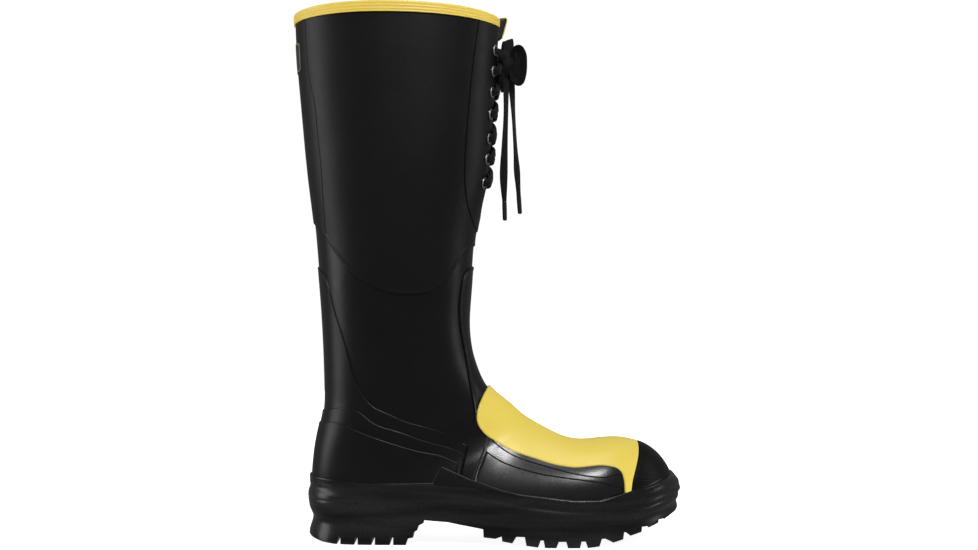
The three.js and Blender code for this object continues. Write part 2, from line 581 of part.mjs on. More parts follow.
function buildSole() {
  const sock = filledSock(GAP);
  const waistInset = (x) => (x < -60 ? 4.2 : 2.0);
  const lugLevels = [
    [() => 1.4, (x) => heightAt(LUG_FACE, x) - 8],
    [() => 1.4, (x) => heightAt(LUG_FACE, x)],
    [(x) => waistInset(x), (x) => heightAt(LUG_FACE, x) * 0.5 + heightAt(RIDGE, x) * 0.5 - 1],
    [() => 0.8, (x) => heightAt(RIDGE, x) - 4],
    [() => 0, (x) => heightAt(RIDGE, x) - GAP / 2],
    [() => 0, (x) => heightAt(RIDGE, x) + 6],
  ];
  let outsole = soleStack(lugLevels).intersect(halfSpace(LUG_FACE, true));
  outsole = outsole.intersect(halfSpace(RIDGE, false, -GAP / 2)).subtract(sock);
  const floorZ = -20;
  outsole = outsole.subtract(sidePrism([...WAIST_CUT, [-4.4, floorZ], [-68.5, floorZ]]));
  for (const [x0, z0, rootLeft, rootRight, rootZ, x1, z1] of CHANNELS) {
    const root = [[rootLeft, rootZ], [rootRight, rootZ]];
    outsole = outsole.subtract(sidePrism([[x0 - 1, floorZ], [x0, z0], ...root, [x1, z1], [x1 + 1, floorZ]]));
  }
  for (const x of HEEL_GROOVES.xs) {
    const [left, right] = [x - HEEL_GROOVES.width / 2, x + HEEL_GROOVES.width / 2];
    const root = [[left, HEEL_GROOVES.depth], [right, HEEL_GROOVES.depth]];
    outsole = outsole.subtract(sidePrism([[left - 0.6, floorZ], ...root, [right + 0.6, floorZ]]));
  }
  const groove = CENTRE_GROOVE.halfWidth;
  const forepart = LUG_FACE.filter(([x]) => x > -5 && x < 150);
  const grooveLine = [...forepart.map(([x, z]) => [x, z + CENTRE_GROOVE.depth]), [146, floorZ], [-4, floorZ]];
  outsole = outsole.subtract(sidePrism(grooveLine, CENTRE_GROOVE.y - groove, CENTRE_GROOVE.y + groove));
  const platePocket = featherPlate(PLATE.inset - GAP, -PLATE.thickness - 3 * GAP, 12);
  const shankOutline = (low, high, grow) => {
    const [x0, x1] = SHANK.xs;
    const xs = [x0 - grow, -60, -30, 0, x1 + grow];
    const lower = xs.map((x) => [x, heightAt(FEATHER, x) + low]);
    const upper = xs.map((x) => [x, heightAt(FEATHER, x) + high]).reverse();
    const half = SHANK.halfWidth + grow;
    return sidePrism([...lower, ...upper], SHANK.y - half, SHANK.y + half);
  };
  const shankTop = -PLATE.thickness - 3 * GAP;
  outsole = outsole.subtract(platePocket).subtract(shankOutline(shankTop - SHANK.thickness - GAP, 0, GAP));
  addSolid('outsole', outsole, COLOURS.rubber);
  const plate = featherPlate(PLATE.inset, -PLATE.thickness - 2 * GAP, -2 * GAP);
  addSolid('puncture_plate', plate, COLOURS.steel, METAL);
  addSolid('steel_shank', shankOutline(shankTop - SHANK.thickness, shankTop, 0), COLOURS.steel, METAL);
}

function buildFoxing() {
  const below = halfSpace(FOXING_TOP, false, 0);
  const above = halfSpace(RIDGE, true, GAP / 2);
  const wall = shell(LAYER.foxing).intersect(below).intersect(above);
  addSolid('foxing', wall, COLOURS.rubber);
  const bumperRear = sidePrism([[118, 20], [118, 44], [150, 62], [200, 62], [200, 20]]);
  const bumperTop = halfSpace(FOXING_TOP, false, -2.5);
  const bumper = shell(LAYER.bumper).intersect(bumperTop).intersect(above).intersect(bumperRear);
  addSolid('toe_bumper', bumper, COLOURS.rubber);
}

/** A rubber piece laid over the shell inside a side outline, ending at the foxing. */
function overlay(name, layer, outline, colour = COLOURS.rubber) {
  const piece = shell(layer).intersect(sidePrism(outline)).subtract(belowFoxing);
  addSolid(name, piece, colour);
}

function buildOverlays() {
  const heelFloor = [[-15.2, 20], [-200, 20]];
  overlay('ankle_guard', LAYER.overlay1, [[-200, 232], ...ANKLE_LINE, [-16.5, 76], [-15.2, 66], ...heelFloor]);
  overlay('heel_counter', LAYER.overlay2, [[-200, 107], ...COUNTER_LINE, [-17, 70], [-17, 20], [-200, 20]]);
  const cupEnd = [[-27, 65], [-41, 65], [-47, 52.2], [-51, 20], [-200, 20]];
  overlay('heel_cup', LAYER.overlay3, [[-200, 92], ...HEEL_CUP_LINE, ...cupEnd]);
  for (const [name, low, high] of [['shank_patch_lateral', -90, -2], ['shank_patch_medial', 2, 90]]) {
    const piece = shell(LAYER.overlay3).intersect(sidePrism(SHANK_PATCH, low, high)).subtract(belowFoxing);
    addSolid(name, piece, COLOURS.rubber);
  }
  const backstay = [[-200, 433], ...BACKSTAY_EDGE, [-137, 254.6], [-148, 266.5], [-200, 283]];
  overlay('backstay', LAYER.backstay, backstay);
  overlay('back_patch', LAYER.backPatch, BACK_PATCH);
  overlay('shin_strip', LAYER.overlay1, SHIN_STRIP);
  const vampTop = [[-6, 94], [-11.5, 98], [-12.5, 108], [-5, 116], [60, 120], [118, 120]];
  const lowerLine = VAMP_LOWER_LINE.slice().reverse();
  const vampLower = [[118, 20], [112, 46], ...lowerLine, ...VAMP_REAR.slice(3), ...vampTop];
  overlay('vamp_overlay_lower', LAYER.overlay1, vampLower);
  const upperLine = VAMP_UPPER_LINE.slice().reverse();
  const upperTop = [[-3, 91], [-8, 99], [-8, 112], [60, 120], [117, 120]];
  const vampUpper = [[117, 56], [105, 57.5], ...upperLine, ...upperTop];
  overlay('vamp_overlay_upper', LAYER.vampUpper, vampUpper);
  overlay('instep_cover', LAYER.cover, INSTEP_COVER, COLOURS.yellow);
  overlay('toe_cap_cover', LAYER.toeCover, [...TOE_COVER_REAR, [200, 110], [200, 20]]);
}

function buildThroat(holes) {
  const facing = shell(LAYER.facing).subtract(throatSlit).subtract(holes);
  const outline = [[40, 429.6], ...FACING_REAR, [40, 257.5]];
  addSolid('facing_lateral', facing.intersect(sidePrism(outline, -90, -GAP / 2)), COLOURS.rubber);
  addSolid('facing_medial', facing.intersect(sidePrism(outline, GAP / 2, 90)), COLOURS.rubber);
  const { half, topZ, bottomZ } = GUSSET;
  const window = frontPrism([[-half, bottomZ], [half, bottomZ], [half, topZ], [-half, topZ]], -60, 40);
  addSolid('gusset', shell(LAYER.gusset).intersect(window), COLOURS.cloth);
}

/** The pinched pleat of the gusset that stands out of the slit at the top, and the tape along its edge. */
function buildPleat() {
  const fold = [
    [-1.4, 441], [15.2, 439.5], [14.1, 434], [12.2, 427], [10.2, 421.5], [6.5, 419], [2.2, 419],
    [2.2, 428.4], [-1.4, 428.4],
  ];
  addSolid('gusset_fold', sidePrism(fold, -1.6, 1.6), COLOURS.cloth);
  const path = new THREE.CatmullRomCurve3(
    [[0, 442.1], [8, 441.6], [14.6, 441.1], [16.5, 439.4], [15.3, 433], [13.5, 426.4], [12.4, 422.8]].map(
      ([x, z]) => new THREE.Vector3(x, 0, z),
    ),
  );
  add('gusset_binding', tube(path, 0.9, 10), COLOURS.binding);
}

/** The tape folded over the top edge of the leg, from one facing round the back to the other. */
function buildBinding() {
  const outer = GAP + BINDING.thickness;
  const inner = LAYER.lining[0] - GAP - BINDING.thickness;
  const profile = [
    [GAP, -BINDING.height], [outer, -BINDING.height], [outer, BINDING.top * 0.4], [outer - 0.8, BINDING.top],
    [inner + 0.8, BINDING.top], [inner, BINDING.top * 0.4], [inner, -BINDING.height],
    [inner + BINDING.thickness, -BINDING.height], [inner + BINDING.thickness, GAP], [GAP, GAP],
  ];
  const vertices = [];
  const drop = new THREE.Vector3().subVectors(surfacePoint(1, 0), surfacePoint(0, 0)).normalize();
  for (let j = 0; j < SEGMENTS; j += 1) {
    const angle = RING_ANGLES[j];
    for (const [distance, rise] of profile) {
      const point = offsetPoint(0, angle, distance);
      const along = surfacePoint(0, angle).sub(surfacePoint(1, angle)).normalize();
      vertices.push(point.addScaledVector(rise < 0 ? along : drop.clone().negate(), rise));
    }
  }
  const n = profile.length;
  const triangles = [];
  for (let j = 0; j < SEGMENTS; j += 1) {
    for (let k = 0; k < n; k += 1) {
      const a = j * n + k;
      const b = j * n + ((k + 1) % n);
      const c = ((j + 1) % SEGMENTS) * n + k;
      const d = ((j + 1) % SEGMENTS) * n + ((k + 1) % n);
      triangles.push([a, b, c], [b, d, c]);
    }
  }
  addSolid('top_binding', closedSolid(vertices, triangles).subtract(throatSlit), COLOURS.binding);
}

function buildEyelets() {
  const [low, high] = [LAYER.shell[0] - GAP, LAYER.facing[1] + GAP];
  const profile = [
    [EYELET.inner, low - 0.6], [EYELET.flange - 0.5, low - 0.6], [EYELET.barrel, low], [EYELET.barrel, high],
    [EYELET.flange, high], [EYELET.inner, high + 0.8], [EYELET.inner, low - 0.6],
  ];
  seats.forEach((pair, i) => {
    add(`eyelet_lateral_${i + 1}`, seatLathe(pair.lateral, profile, 8), COLOURS.metal, METAL);
    add(`eyelet_medial_${i + 1}`, seatLathe(pair.medial, profile, 8), COLOURS.metal, METAL);
  });
}

/** A point on an eyelet's own axis. */
function onAxis(seat, height) {
  return seat.position.clone().addScaledVector(seat.normal, height);
}

/** Points of one lace strand: out of the lower eyelet, across the slit, and up into the upper eyelet from behind. */
function strand(lower, upper, lift) {
  const between = (from, to, share) => from + (to - from) * share;
  const at = (share, height) => facetPoint(between(lower.y, upper.y, share), between(lower.z, upper.z, share), height);
  const edge = (1 - (SLIT.half + 1.2) / EYELET.y) / 2;
  return [
    onAxis(lower, 3.3), at(0.045, LACE_OVER), at(edge, LACE_OVER), at(0.5, CROSSING_LEVEL + lift), at(1 - edge, LACE_UNDER),
    at(0.955, LACE_UNDER), onAxis(upper, -4.0), onAxis(upper, 0),
  ];
}

function buildLacing() {
  const pairs = seats.slice().reverse();
  const route = (startSide, lift) => {
    const points = [];
    let side = startSide;
    for (let k = 0; k < pairs.length - 1; k += 1) {
      const other = side === 'lateral' ? 'medial' : 'lateral';
      points.push(...strand(pairs[k][side], pairs[k + 1][other], lift));
      side = other;
    }
    const top = pairs.at(-1)[side];
    const inward = Math.sign(top.y);
    points.push(onAxis(top, 3.3), facetPoint(top.y * 0.9, top.z - 1, LACE_OVER));
    const reach = KNOT.size[1] / 2 + LACE_RADIUS;
    points.push(new THREE.Vector3(KNOT.x - KNOT_TAIL_IN, inward * reach, KNOT.z + 1));
    return points;
  };
  const [lateral, medial] = [pairs[0].lateral, pairs[0].medial];
  const under = (y) => facetPoint(y, lateral.z, LACE_UNDER);
  const bottomBar = [
    onAxis(lateral, 0), onAxis(lateral, -4.0), under(lateral.y * 0.9), under(lateral.y * 0.4), under(medial.y * 0.4),
    under(medial.y * 0.9), onAxis(medial, -4.0), onAxis(medial, 0),
  ];
  const points = [...route('lateral', -LACE_CROSSING).reverse(), ...bottomBar, ...route('medial', LACE_CROSSING)];
  add('lacing', tube(new SteppedPath(points), LACE_RADIUS, points.length - 1), COLOURS.lace);
}

function hangingTube(name, points, radius, steps) {
  const path = new THREE.CatmullRomCurve3(points.map(([x, y, z]) => new THREE.Vector3(x, y, z)));
  add(name, tube(path, radius, steps), COLOURS.lace);
}

function buildBow() {
  const knot = new THREE.SphereGeometry(0.5, 12, 8);
  knot.scale(...KNOT.size);
  knot.translate(KNOT.x, KNOT.y, KNOT.z);
  addSolid('lace_knot', fromGeometry(knot), COLOURS.lace);
  const loopFront = [
    [20.6, -6.6, 404.4], [22.6, -9.5, 410.4], [25.6, -12.4, 411.8], [28.2, -14, 407.6],
    [28.9, -14.4, 400], [28.2, -14, 391], [25.8, -12.6, 385.2], [23.2, -10.8, 386.6], [21.8, -9.4, 391.4],
    [20, -8.4, 395.4],
  ];
  const loopBack = [
    [15.4, 5, 407.6], [16.6, 7.5, 416], [16.2, 12, 423], [14.9, 15.8, 417], [14.2, 16.6, 403],
    [14.2, 15, 389.5], [14.4, 11.5, 380.6], [14.8, 7.6, 382.6], [15, 5.6, 390.6],
  ];
  hangingTube('lace_loop_lateral', loopFront, LACE_RADIUS, 22);
  hangingTube('lace_loop_medial', loopBack, LACE_RADIUS, 18);
  const tailA = [
    [14, -4.4, 391.6], [14.3, -6, 383], [14.3, -7.5, 360], [13.2, -8, 330], [12.4, -8, 305],
    [13, -7.8, 283.6],
  ];
  const tailB = [
    [17.6, -1, 392.4], [19, -1.6, 383], [20.6, -2, 360], [22.4, -2, 330], [23.9, -2, 308],
    [25.2, -2, 289.4],
  ];
  hangingTube('lace_tail_lateral', tailA, LACE_RADIUS, 12);
  hangingTube('lace_tail_medial', tailB, LACE_RADIUS, 12);
  for (const [name, tail] of [['aglet_lateral', tailA], ['aglet_medial', tailB]]) {
    const end = new THREE.Vector3(...tail.at(-1));
    const before = new THREE.Vector3(...tail.at(-2));
    const along = end.clone().sub(before).normalize();
    const start = end.clone().addScaledVector(along, GAP);
    const path = new THREE.LineCurve3(start, start.clone().addScaledVector(along, AGLET.length));
    add(name, tube(path, AGLET.radius, 1, 10), COLOURS.lace, { roughness: 0.3 });
  }
}

const holes = buildShell();
buildInside();
buildInsole();
buildSole();
buildFoxing();
buildOverlays();
buildThroat(holes);
buildPleat();
buildBinding();
buildEyelets();
buildLacing();
buildBow();

// The frame's origin is the middle of the boot's footprint at the floor.
const bounds = new THREE.Box3();
for (const mesh of boot.children) {
  if (/^(lace_|aglet_)/.test(mesh.name)) continue;
  mesh.geometry.computeBoundingBox();
  bounds.union(mesh.geometry.boundingBox);
}
const centre = bounds.getCenter(new THREE.Vector3());
const shift = new THREE.Vector3(-centre.x, -centre.y, -bounds.min.z);
for (const mesh of boot.children) mesh.geometry.translate(shift.x, shift.y, shift.z);

export default boot;
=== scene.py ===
"""Looks of a tall lace-top rubber safety boot, right foot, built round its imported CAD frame.

Lengths in this file are millimetres in the boot's own coordinates (+X toe, -Y outer side, +Z up);
to_frame() turns them into metres in the frame.
"""

import math

import bmesh
import bpy
import numpy as np
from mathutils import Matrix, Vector
from mathutils.bvhtree import BVHTree


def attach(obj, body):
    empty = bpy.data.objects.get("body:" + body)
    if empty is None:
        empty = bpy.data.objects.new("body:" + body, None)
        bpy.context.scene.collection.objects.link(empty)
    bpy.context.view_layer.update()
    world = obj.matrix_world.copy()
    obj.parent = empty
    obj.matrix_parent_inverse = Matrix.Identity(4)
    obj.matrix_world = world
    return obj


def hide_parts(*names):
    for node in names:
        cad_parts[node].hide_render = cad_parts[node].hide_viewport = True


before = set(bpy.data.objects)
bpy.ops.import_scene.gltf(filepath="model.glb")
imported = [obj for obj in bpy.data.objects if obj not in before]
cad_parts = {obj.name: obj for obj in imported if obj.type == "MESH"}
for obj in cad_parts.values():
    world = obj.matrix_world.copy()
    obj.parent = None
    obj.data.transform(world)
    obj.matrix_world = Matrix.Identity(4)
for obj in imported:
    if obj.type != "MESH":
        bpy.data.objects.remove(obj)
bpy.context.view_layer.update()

# ---------------------------------------------------------------- driving dimensions
FRAME_SHIFT = 1.5655  # the frame's origin lies this far behind the origin of the boot's own coordinates

# Rings from the leg opening down round the heel and out to the toe:
# front x, front z, back x, back z, half width, centre y, widest point 0..1, front roundness, back roundness
STATIONS = np.array([
    [8.3, 438.0, -163.4, 441.5, 56.0, 0.0, 0.5, 2.2, 2.1],
    [5.6, 396.0, -160.9, 396.0, 56.0, 0.0, 0.5, 2.25, 2.1],
    [1.9, 345.0, -156.6, 348.0, 55.5, 0.0, 0.5, 2.25, 2.1],
    [-3.2, 295.0, -151.6, 297.0, 54.5, 0.0, 0.5, 2.2, 2.1],
    [-11.5, 257.0, -147.0, 262.0, 53.0, 0.0, 0.5, 2.15, 2.1],
    [-15.2, 215.0, -144.0, 222.0, 50.5, 0.0, 0.5, 2.1, 2.1],
    [-17.0, 186.0, -141.2, 188.0, 48.0, 0.0, 0.5, 2.1, 2.1],
    [-15.8, 162.0, -139.6, 156.0, 46.0, 0.0, 0.5, 2.1, 2.1],
    [-11.5, 146.0, -138.8, 128.0, 44.5, 0.0, 0.52, 2.1, 2.1],
    [-3.4, 128.5, -139.6, 106.0, 43.0, 0.0, 0.54, 2.1, 2.15],
    [6.0, 118.8, -144.2, 84.0, 41.6, 0.0, 0.56, 2.1, 2.2],
    [17.2, 109.8, -147.2, 60.0, 40.4, 0.0, 0.58, 2.1, 2.25],
    [26.3, 101.6, -145.5, 40.0, 39.6, 0.0, 0.61, 2.1, 2.3],
    [34.5, 96.2, -133.0, 29.5, 39.4, -0.4, 0.64, 2.1, 2.6],
    [41.8, 92.2, -104.0, 28.5, 39.0, -1.6, 0.68, 2.1, 2.9],
    [51.0, 87.4, -69.0, 28.0, 38.8, -3.0, 0.71, 2.1, 3.1],
    [61.3, 83.0, -30.0, 25.0, 41.2, -4.2, 0.73, 2.1, 3.2],
    [72.0, 80.3, 10.0, 20.5, 45.6, -4.3, 0.74, 2.15, 3.3],
    [84.0, 79.8, 45.0, 17.0, 49.6, -3.0, 0.74, 2.2, 3.3],
    [96.0, 80.8, 72.0, 15.8, 51.2, -1.3, 0.73, 2.25, 3.3],
    [108.0, 81.2, 93.0, 16.4, 49.4, 0.0, 0.71, 2.25, 3.2],
    [119.0, 79.6, 111.5, 18.5, 45.8, 2.8, 0.69, 2.2, 3.0],
    [130.5, 75.6, 127.5, 21.5, 39.4, 4.7, 0.66, 2.2, 2.8],
    [141.0, 68.2, 140.0, 25.5, 31.0, 7.0, 0.62, 2.15, 2.5],
    [148.6, 58.4, 148.4, 30.0, 22.0, 8.6, 0.58, 2.1, 2.3],
    [153.0, 50.0, 152.8, 34.5, 12.5, 9.6, 0.54, 2.05, 2.1],
])

# Plan outline of the sole from the back of the heel along the outer side: x, y.
SOLE_OUTLINE = [
    [-153.6, 0], [-147, -21.5], [-129, -37], [-100, -42.5], [-65, -43.5], [-30, -45.5], [5, -50.5],
    [40, -56], [72, -57.2], [100, -53.2], [125, -41], [146, -22], [158.5, -3], [162.6, 11], [158.5, 26],
    [145, 40], [122, 50.5], [95, 54], [60, 51.5], [25, 44.5], [-10, 37.5], [-45, 35.5], [-80, 38.5],
    [-112, 40.5], [-137, 31.5], [-149, 17.5],
]
# Heights along the sole: the upper's underside, the lug faces, the sidewall ridge and
# the foxing's top edge: x, z.
FEATHER = [
    [-170, 29.5], [-133, 29.5], [-104, 28.5], [-69, 28], [-30, 25], [10, 20.5], [45, 17], [72, 15.8],
    [93, 16.4], [111.5, 18.5], [127.5, 21.5], [140, 25.5], [148.4, 30], [170, 38],
]
LUG_FACE = [
    [-170, 8], [-153.6, 4.6], [-147, 2.4], [-138, 0.8], [-128, 0], [-60, 0], [-30, 4], [-4.4, 7.2],
    [5.2, 6.4], [10.8, 4.4], [19, 3.1], [30.5, 1.4], [39.9, 0.3], [45, 0], [80, 0], [90, 1.1],
    [101.5, 3.7], [109.8, 5.8], [116, 8.2], [125.7, 10.3], [131, 12.7], [141, 15.6], [146.5, 17.5],
    [153.8, 20.4], [158, 21.8], [161, 24], [172, 26],
]
RIDGE = [
    [-170, 36], [-100, 35], [-60, 33], [-20, 29.5], [20, 25], [60, 22.5], [90, 23.5], [120, 28.5],
    [145, 34], [163, 37.5], [172, 38.5],
]
FOXING_TOP = [
    [-172, 55], [-150, 54.5], [-106, 50.4], [-46, 51.6], [-11, 49.6], [26, 42.9], [70, 38.4], [91, 38.6],
    [109, 43], [135, 50.5], [153.9, 56.3], [172, 60],
]
# Cross channels between the forepart lugs:
# left x, left z, left root x, right root x, root z, right x, right z.
CHANNELS = [
    [5.2, 6.4, 9.9, 10.3, 8.2, 10.8, 4.4],
    [19.0, 3.1, 22.3, 29.1, 8.4, 30.5, 1.4],
    [39.9, 0.3, 42.1, 44.6, 6.0, 45.6, 0.0],
    [54.7, 0.0, 56.8, 63.2, 5.0, 64.2, 0.0],
    [74.0, 0.0, 75.3, 79.0, 5.2, 80.4, 0.1],
    [90.0, 1.1, 91.9, 95.0, 7.1, 101.5, 3.7],
    [109.8, 5.8, 110.6, 112.0, 11.4, 116.0, 8.2],
    [125.7, 10.3, 126.2, 131.0, 14.3, 133.0, 11.6],
    [141.1, 15.6, 141.5, 146.0, 18.2, 147.6, 16.4],
]
# Underside between the heel and the forepart: the stepped heel breast and the arched waist: x, z.
WAIST_CUT = [
    [-68.5, 0], [-66.5, 5.3], [-62.4, 6.1], [-62.4, 10.2], [-59.1, 11.9], [-57.5, 16], [-53.8, 18],
    [-53.4, 20.4], [-33.7, 19], [-23.8, 17], [-4.9, 13.8], [-4.4, 7.2],
]
HEEL_GROOVES = {"xs": [-124, -109.6, -95.3, -80.2], "width": 2.6, "depth": 6}
CENTRE_GROOVE = {"half": 2.2, "y": -1, "depth": 4.2}

# Edges of the rubber pieces seen square-on from the side: x, z.
LEG_EDGE = [
    [-175, 278], [-148, 266], [-134, 251], [-124.6, 237], [-110.5, 222], [-101.9, 216], [-85.5, 208.3],
    [-72.9, 206], [-54, 206.5], [-41.5, 212], [-31.8, 222], [-24.5, 234.6], [-19.8, 241.8],
    [-12.6, 246.4], [20, 249],
]
FACING_REAR = [
    [-8.4, 436], [-14.2, 392], [-17.1, 361.8], [-20, 324], [-20.7, 300.8], [-19.6, 286], [-17.1, 274.3],
    [-11, 257.5],
]
BACKSTAY_EDGE = [
    [-152.4, 440], [-149.5, 399], [-147, 381], [-142.9, 362], [-140.8, 339.5], [-138.3, 317],
    [-135.8, 275.6], [-134.5, 256],
]
BACK_PATCH = [[-180, 392], [-157, 392], [-155.6, 394], [-156.6, 415], [-158, 417], [-180, 417]]
ANKLE_LINE = [
    [-160, 232], [-145.7, 229.7], [-136, 219.5], [-131.5, 207], [-127.5, 191.7], [-119.7, 168.7],
    [-114, 148.2], [-108.6, 132.7], [-100.8, 119.6], [-93.4, 113], [-78.7, 106.4], [-68, 101.5],
    [-56.5, 98.3], [-39.3, 92.6], [-31.1, 88.5], [-24, 84.2], [-18.6, 81.4],
]
COUNTER_LINE = [
    [-160, 107], [-142, 107.6], [-126, 111.5], [-109.8, 111], [-97.5, 102.4], [-87.7, 97.4],
    [-71.3, 92.5], [-56.5, 86.8], [-32.7, 79.6], [-21.3, 74.7],
]
HEEL_CUP_LINE = [
    [-165, 92], [-145, 96.5], [-130, 99.8], [-118.4, 97.9], [-104.9, 92.5], [-78.6, 83.5], [-56.5, 77],
    [-39.3, 73], [-28, 68], [-25.6, 66.6],
]
SHANK_PATCH = [
    [-27.4, 59.2], [-14.7, 53.6], [-6.5, 51.1], [10.6, 45.6], [30, 41.5], [30, 20], [-50, 20],
    [-46.1, 52.2], [-39.9, 64.6],
]
VAMP_REAR = [[-13.9, 40], [-13.9, 54.4], [-6.9, 73], [-4.3, 80.1], [-1.9, 88]]
VAMP_LOWER_LINE = [
    [-4.5, 76.5], [-1.6, 74.2], [10.6, 66.8], [27, 61.3], [41.6, 57.9], [57.9, 55.5], [75, 53.5],
    [91.3, 51.8],
]
VAMP_UPPER_LINE = [[2.5, 83], [18.9, 72], [41.7, 64.4], [55.6, 61], [75.2, 57], [95, 55]]
COVER_REAR = [[0.3, 129.9], [-4.5, 123], [-9.2, 113], [-10.8, 104.8], [-9.5, 97.6], [-3.6, 89.5], [5, 83.2]]
COVER_LOWER = [
    [5, 83.2], [19, 75.3], [41.9, 67.9], [54.1, 64.6], [67.2, 62.8], [75.3, 62.8], [91.8, 64.3],
    [98.7, 63.7], [104.6, 62.1], [108.7, 57.6], [110.2, 50.5], [110.5, 34],
]
COVER_FRONT = [[115.7, 34], [115.9, 43.6], [117.5, 53.4], [122.4, 66.7], [125.2, 75.9], [127, 84]]
TOE_COVER_REAR = [[116.2, 34], [116.4, 43.6], [118, 53.4], [122.9, 66.7], [125.6, 75.9], [127.4, 84]]
SHIN_STRIP = [
    [20, 232], [-13, 229.9], [-20, 224], [-22.8, 216], [-24.6, 205], [-25.5, 190], [-23.6, 172],
    [-20.9, 158], [-17.5, 137], [-14.6, 122], [-12.6, 108], [-12.8, 98], [-14.2, 90], [-17.2, 81],
    [-19.4, 72], [-22.8, 58], [-23.6, 46],
]

# Throat opening, lacing and trim.
SLIT = {"half": 11.5, "round_z": 288.0, "bottom_z": 272.0}
LINING_THROAT = {"half": 30.0, "bottom_z": 258.0}
GUSSET = {"half": 37.0, "top_z": 427.5, "bottom_z": 249.0}
EYELET = {"y": 18.6, "clearance": 3.4}
EYELET_Z = [410, 392.5, 375, 356.5, 336, 319, 299.3]
KNOT = {"x": 17.0, "z": 400.0}
LOOP_LATERAL = [
    [20.6, -6.6, 404.4], [22.6, -9.5, 410.4], [25.6, -12.4, 411.8], [28.2, -14, 407.6],
    [28.9, -14.4, 400], [28.2, -14, 391], [25.8, -12.6, 385.2], [23.2, -10.8, 386.6], [21.8, -9.4, 391.4],
    [20, -8.4, 395.4],
]
LOOP_MEDIAL = [
    [15.4, 5, 407.6], [16.6, 7.5, 416], [16.2, 12, 423], [14.9, 15.8, 417], [14.2, 16.6, 403],
    [14.2, 15, 389.5], [14.4, 11.5, 380.6], [14.8, 7.6, 382.6], [15, 5.6, 390.6],
]
TAIL_LATERAL = [
    [14, -4.4, 391.6], [14.3, -6, 383], [14.3, -7.5, 360], [13.2, -8, 330], [12.4, -8, 305],
    [13, -7.8, 283.6],
]
TAIL_MEDIAL = [
    [17.6, -1, 392.4], [19, -1.6, 383], [20.6, -2, 360], [22.4, -2, 330], [23.9, -2, 308],
    [25.2, -2, 289.4],
]

# Height of each visible layer over the shell's outer face.
TOP = {
    "leg": 0.9, "overlay1": 1.0, "overlay2": 1.9, "overlay3": 2.8, "backstay": 1.3, "back_patch": 1.9,
    "vamp_shell": 0.9, "vamp_lower": 1.7, "vamp_upper": 2.4, "cover": 3.4, "shank_patch": 3.3, "toe": 3.7,
    "facing": 1.8, "lining": -6.4, "gusset": -9.3,
}
# The tape over the top edge: its depth down the leg, its two faces and the ribs along the outer one.
RIM_TAPE = {"height": 7.6, "outer": 2.5, "inner": -7.9, "rib": 0.22, "rib_pitch": 2.5}
RIM_HALF_WIDTH = 56.0
# How thick the foxing's top edge stands off the upper: x, millimetres.
FOXING_THICKNESS = [[-156, 4.6], [-138, 4.2], [-110, 3.4], [-60, 3.4], [60, 3.2], [100, 4.0], [160, 4.3]]


# ---------------------------------------------------------------- camera
def add_camera():
    """A level camera square-on to the boot's outer side."""
    data = bpy.data.cameras.new("camera")
    data.lens = 54.1
    data.sensor_width = 36
    camera = bpy.data.objects.new("camera", data)
    camera.location = (0.00156, -1.25, 0.222)
    camera.rotation_euler = (math.radians(90), 0, 0)
    bpy.context.collection.objects.link(camera)
    bpy.context.scene.camera = camera


add_camera()


# ---------------------------------------------------------------- small helpers
def to_frame(points):
    """Millimetres in the boot's own coordinates turned into metres in the frame."""
    moved = np.asarray(points, float).copy()
    moved[..., 0] += FRAME_SHIFT
    return moved * 0.001


def height_at(line, x):
    """Height of a polyline of x, z points at some x."""
    table = np.asarray(line, float)
    return np.interp(x, table[:, 0], table[:, 1])


def knot_places(points):
    """Centripetal knot values of a line's points."""
    return np.concatenate([[0], np.cumsum(np.sqrt(np.linalg.norm(np.diff(points, axis=0), axis=1)))])


def travel_along(points):
    """Distance covered at each point of a line."""
    return np.concatenate([[0], np.cumsum(np.linalg.norm(np.diff(points, axis=0), axis=1))])


def read_rows(at, places, rows):
    """Rows of a table read at some places along it."""
    return np.stack([np.interp(at, places, column) for column in rows.T], axis=1)


def smooth_line(points, step=1.2, closed=False):
    """Points spaced evenly along a natural cubic spline through the given ones."""
    knots = np.asarray(points, float)
    if closed:
        wrap = 4
        knots = np.vstack([knots[-wrap:], knots, knots[: wrap + 1]])
    u = knot_places(knots)
    if closed:
        start, end = u[wrap], u[wrap + len(points)]
    else:
        start, end = u[0], u[-1]
    dense = np.linspace(start, end, 80 * len(points))
    curve = natural_spline(u, knots, dense)
    travel = travel_along(curve)
    count = max(2, int(round(travel[-1] / step)))
    wanted = np.linspace(0, travel[-1], count + 1)
    return read_rows(wanted[:-1] if closed else wanted, travel, curve)


def natural_spline(u, rows, at):
    """Natural cubic spline of rows over knots u, read at the given places."""
    u = np.asarray(u, float)
    rows = np.asarray(rows, float)
    n = len(u)
    h = np.diff(u)
    system = np.zeros((n, n))
    right = np.zeros_like(rows)
    system[0, 0] = 1
    system[-1, -1] = 1
    for i in range(1, n - 1):
        system[i, i - 1] = h[i - 1]
        system[i, i] = 2 * (h[i - 1] + h[i])
        system[i, i + 1] = h[i]
        right[i] = 6 * ((rows[i + 1] - rows[i]) / h[i] - (rows[i] - rows[i - 1]) / h[i - 1])
    bend = np.linalg.solve(system, right)
    i = np.clip(np.searchsorted(u, at, side="right") - 1, 0, n - 2)
    a = ((u[i + 1] - at) / h[i])[:, None]
    b = ((at - u[i]) / h[i])[:, None]
    span = (h[i] ** 2)[:, None] / 6
    return a * rows[i] + b * rows[i + 1] + ((a**3 - a) * bend[i] + (b**3 - b) * bend[i + 1]) * span


def unit(vectors):
    """The vectors at length one."""
    length = np.linalg.norm(vectors, axis=-1, keepdims=True)
    return vectors / np.maximum(length, 1e-9)


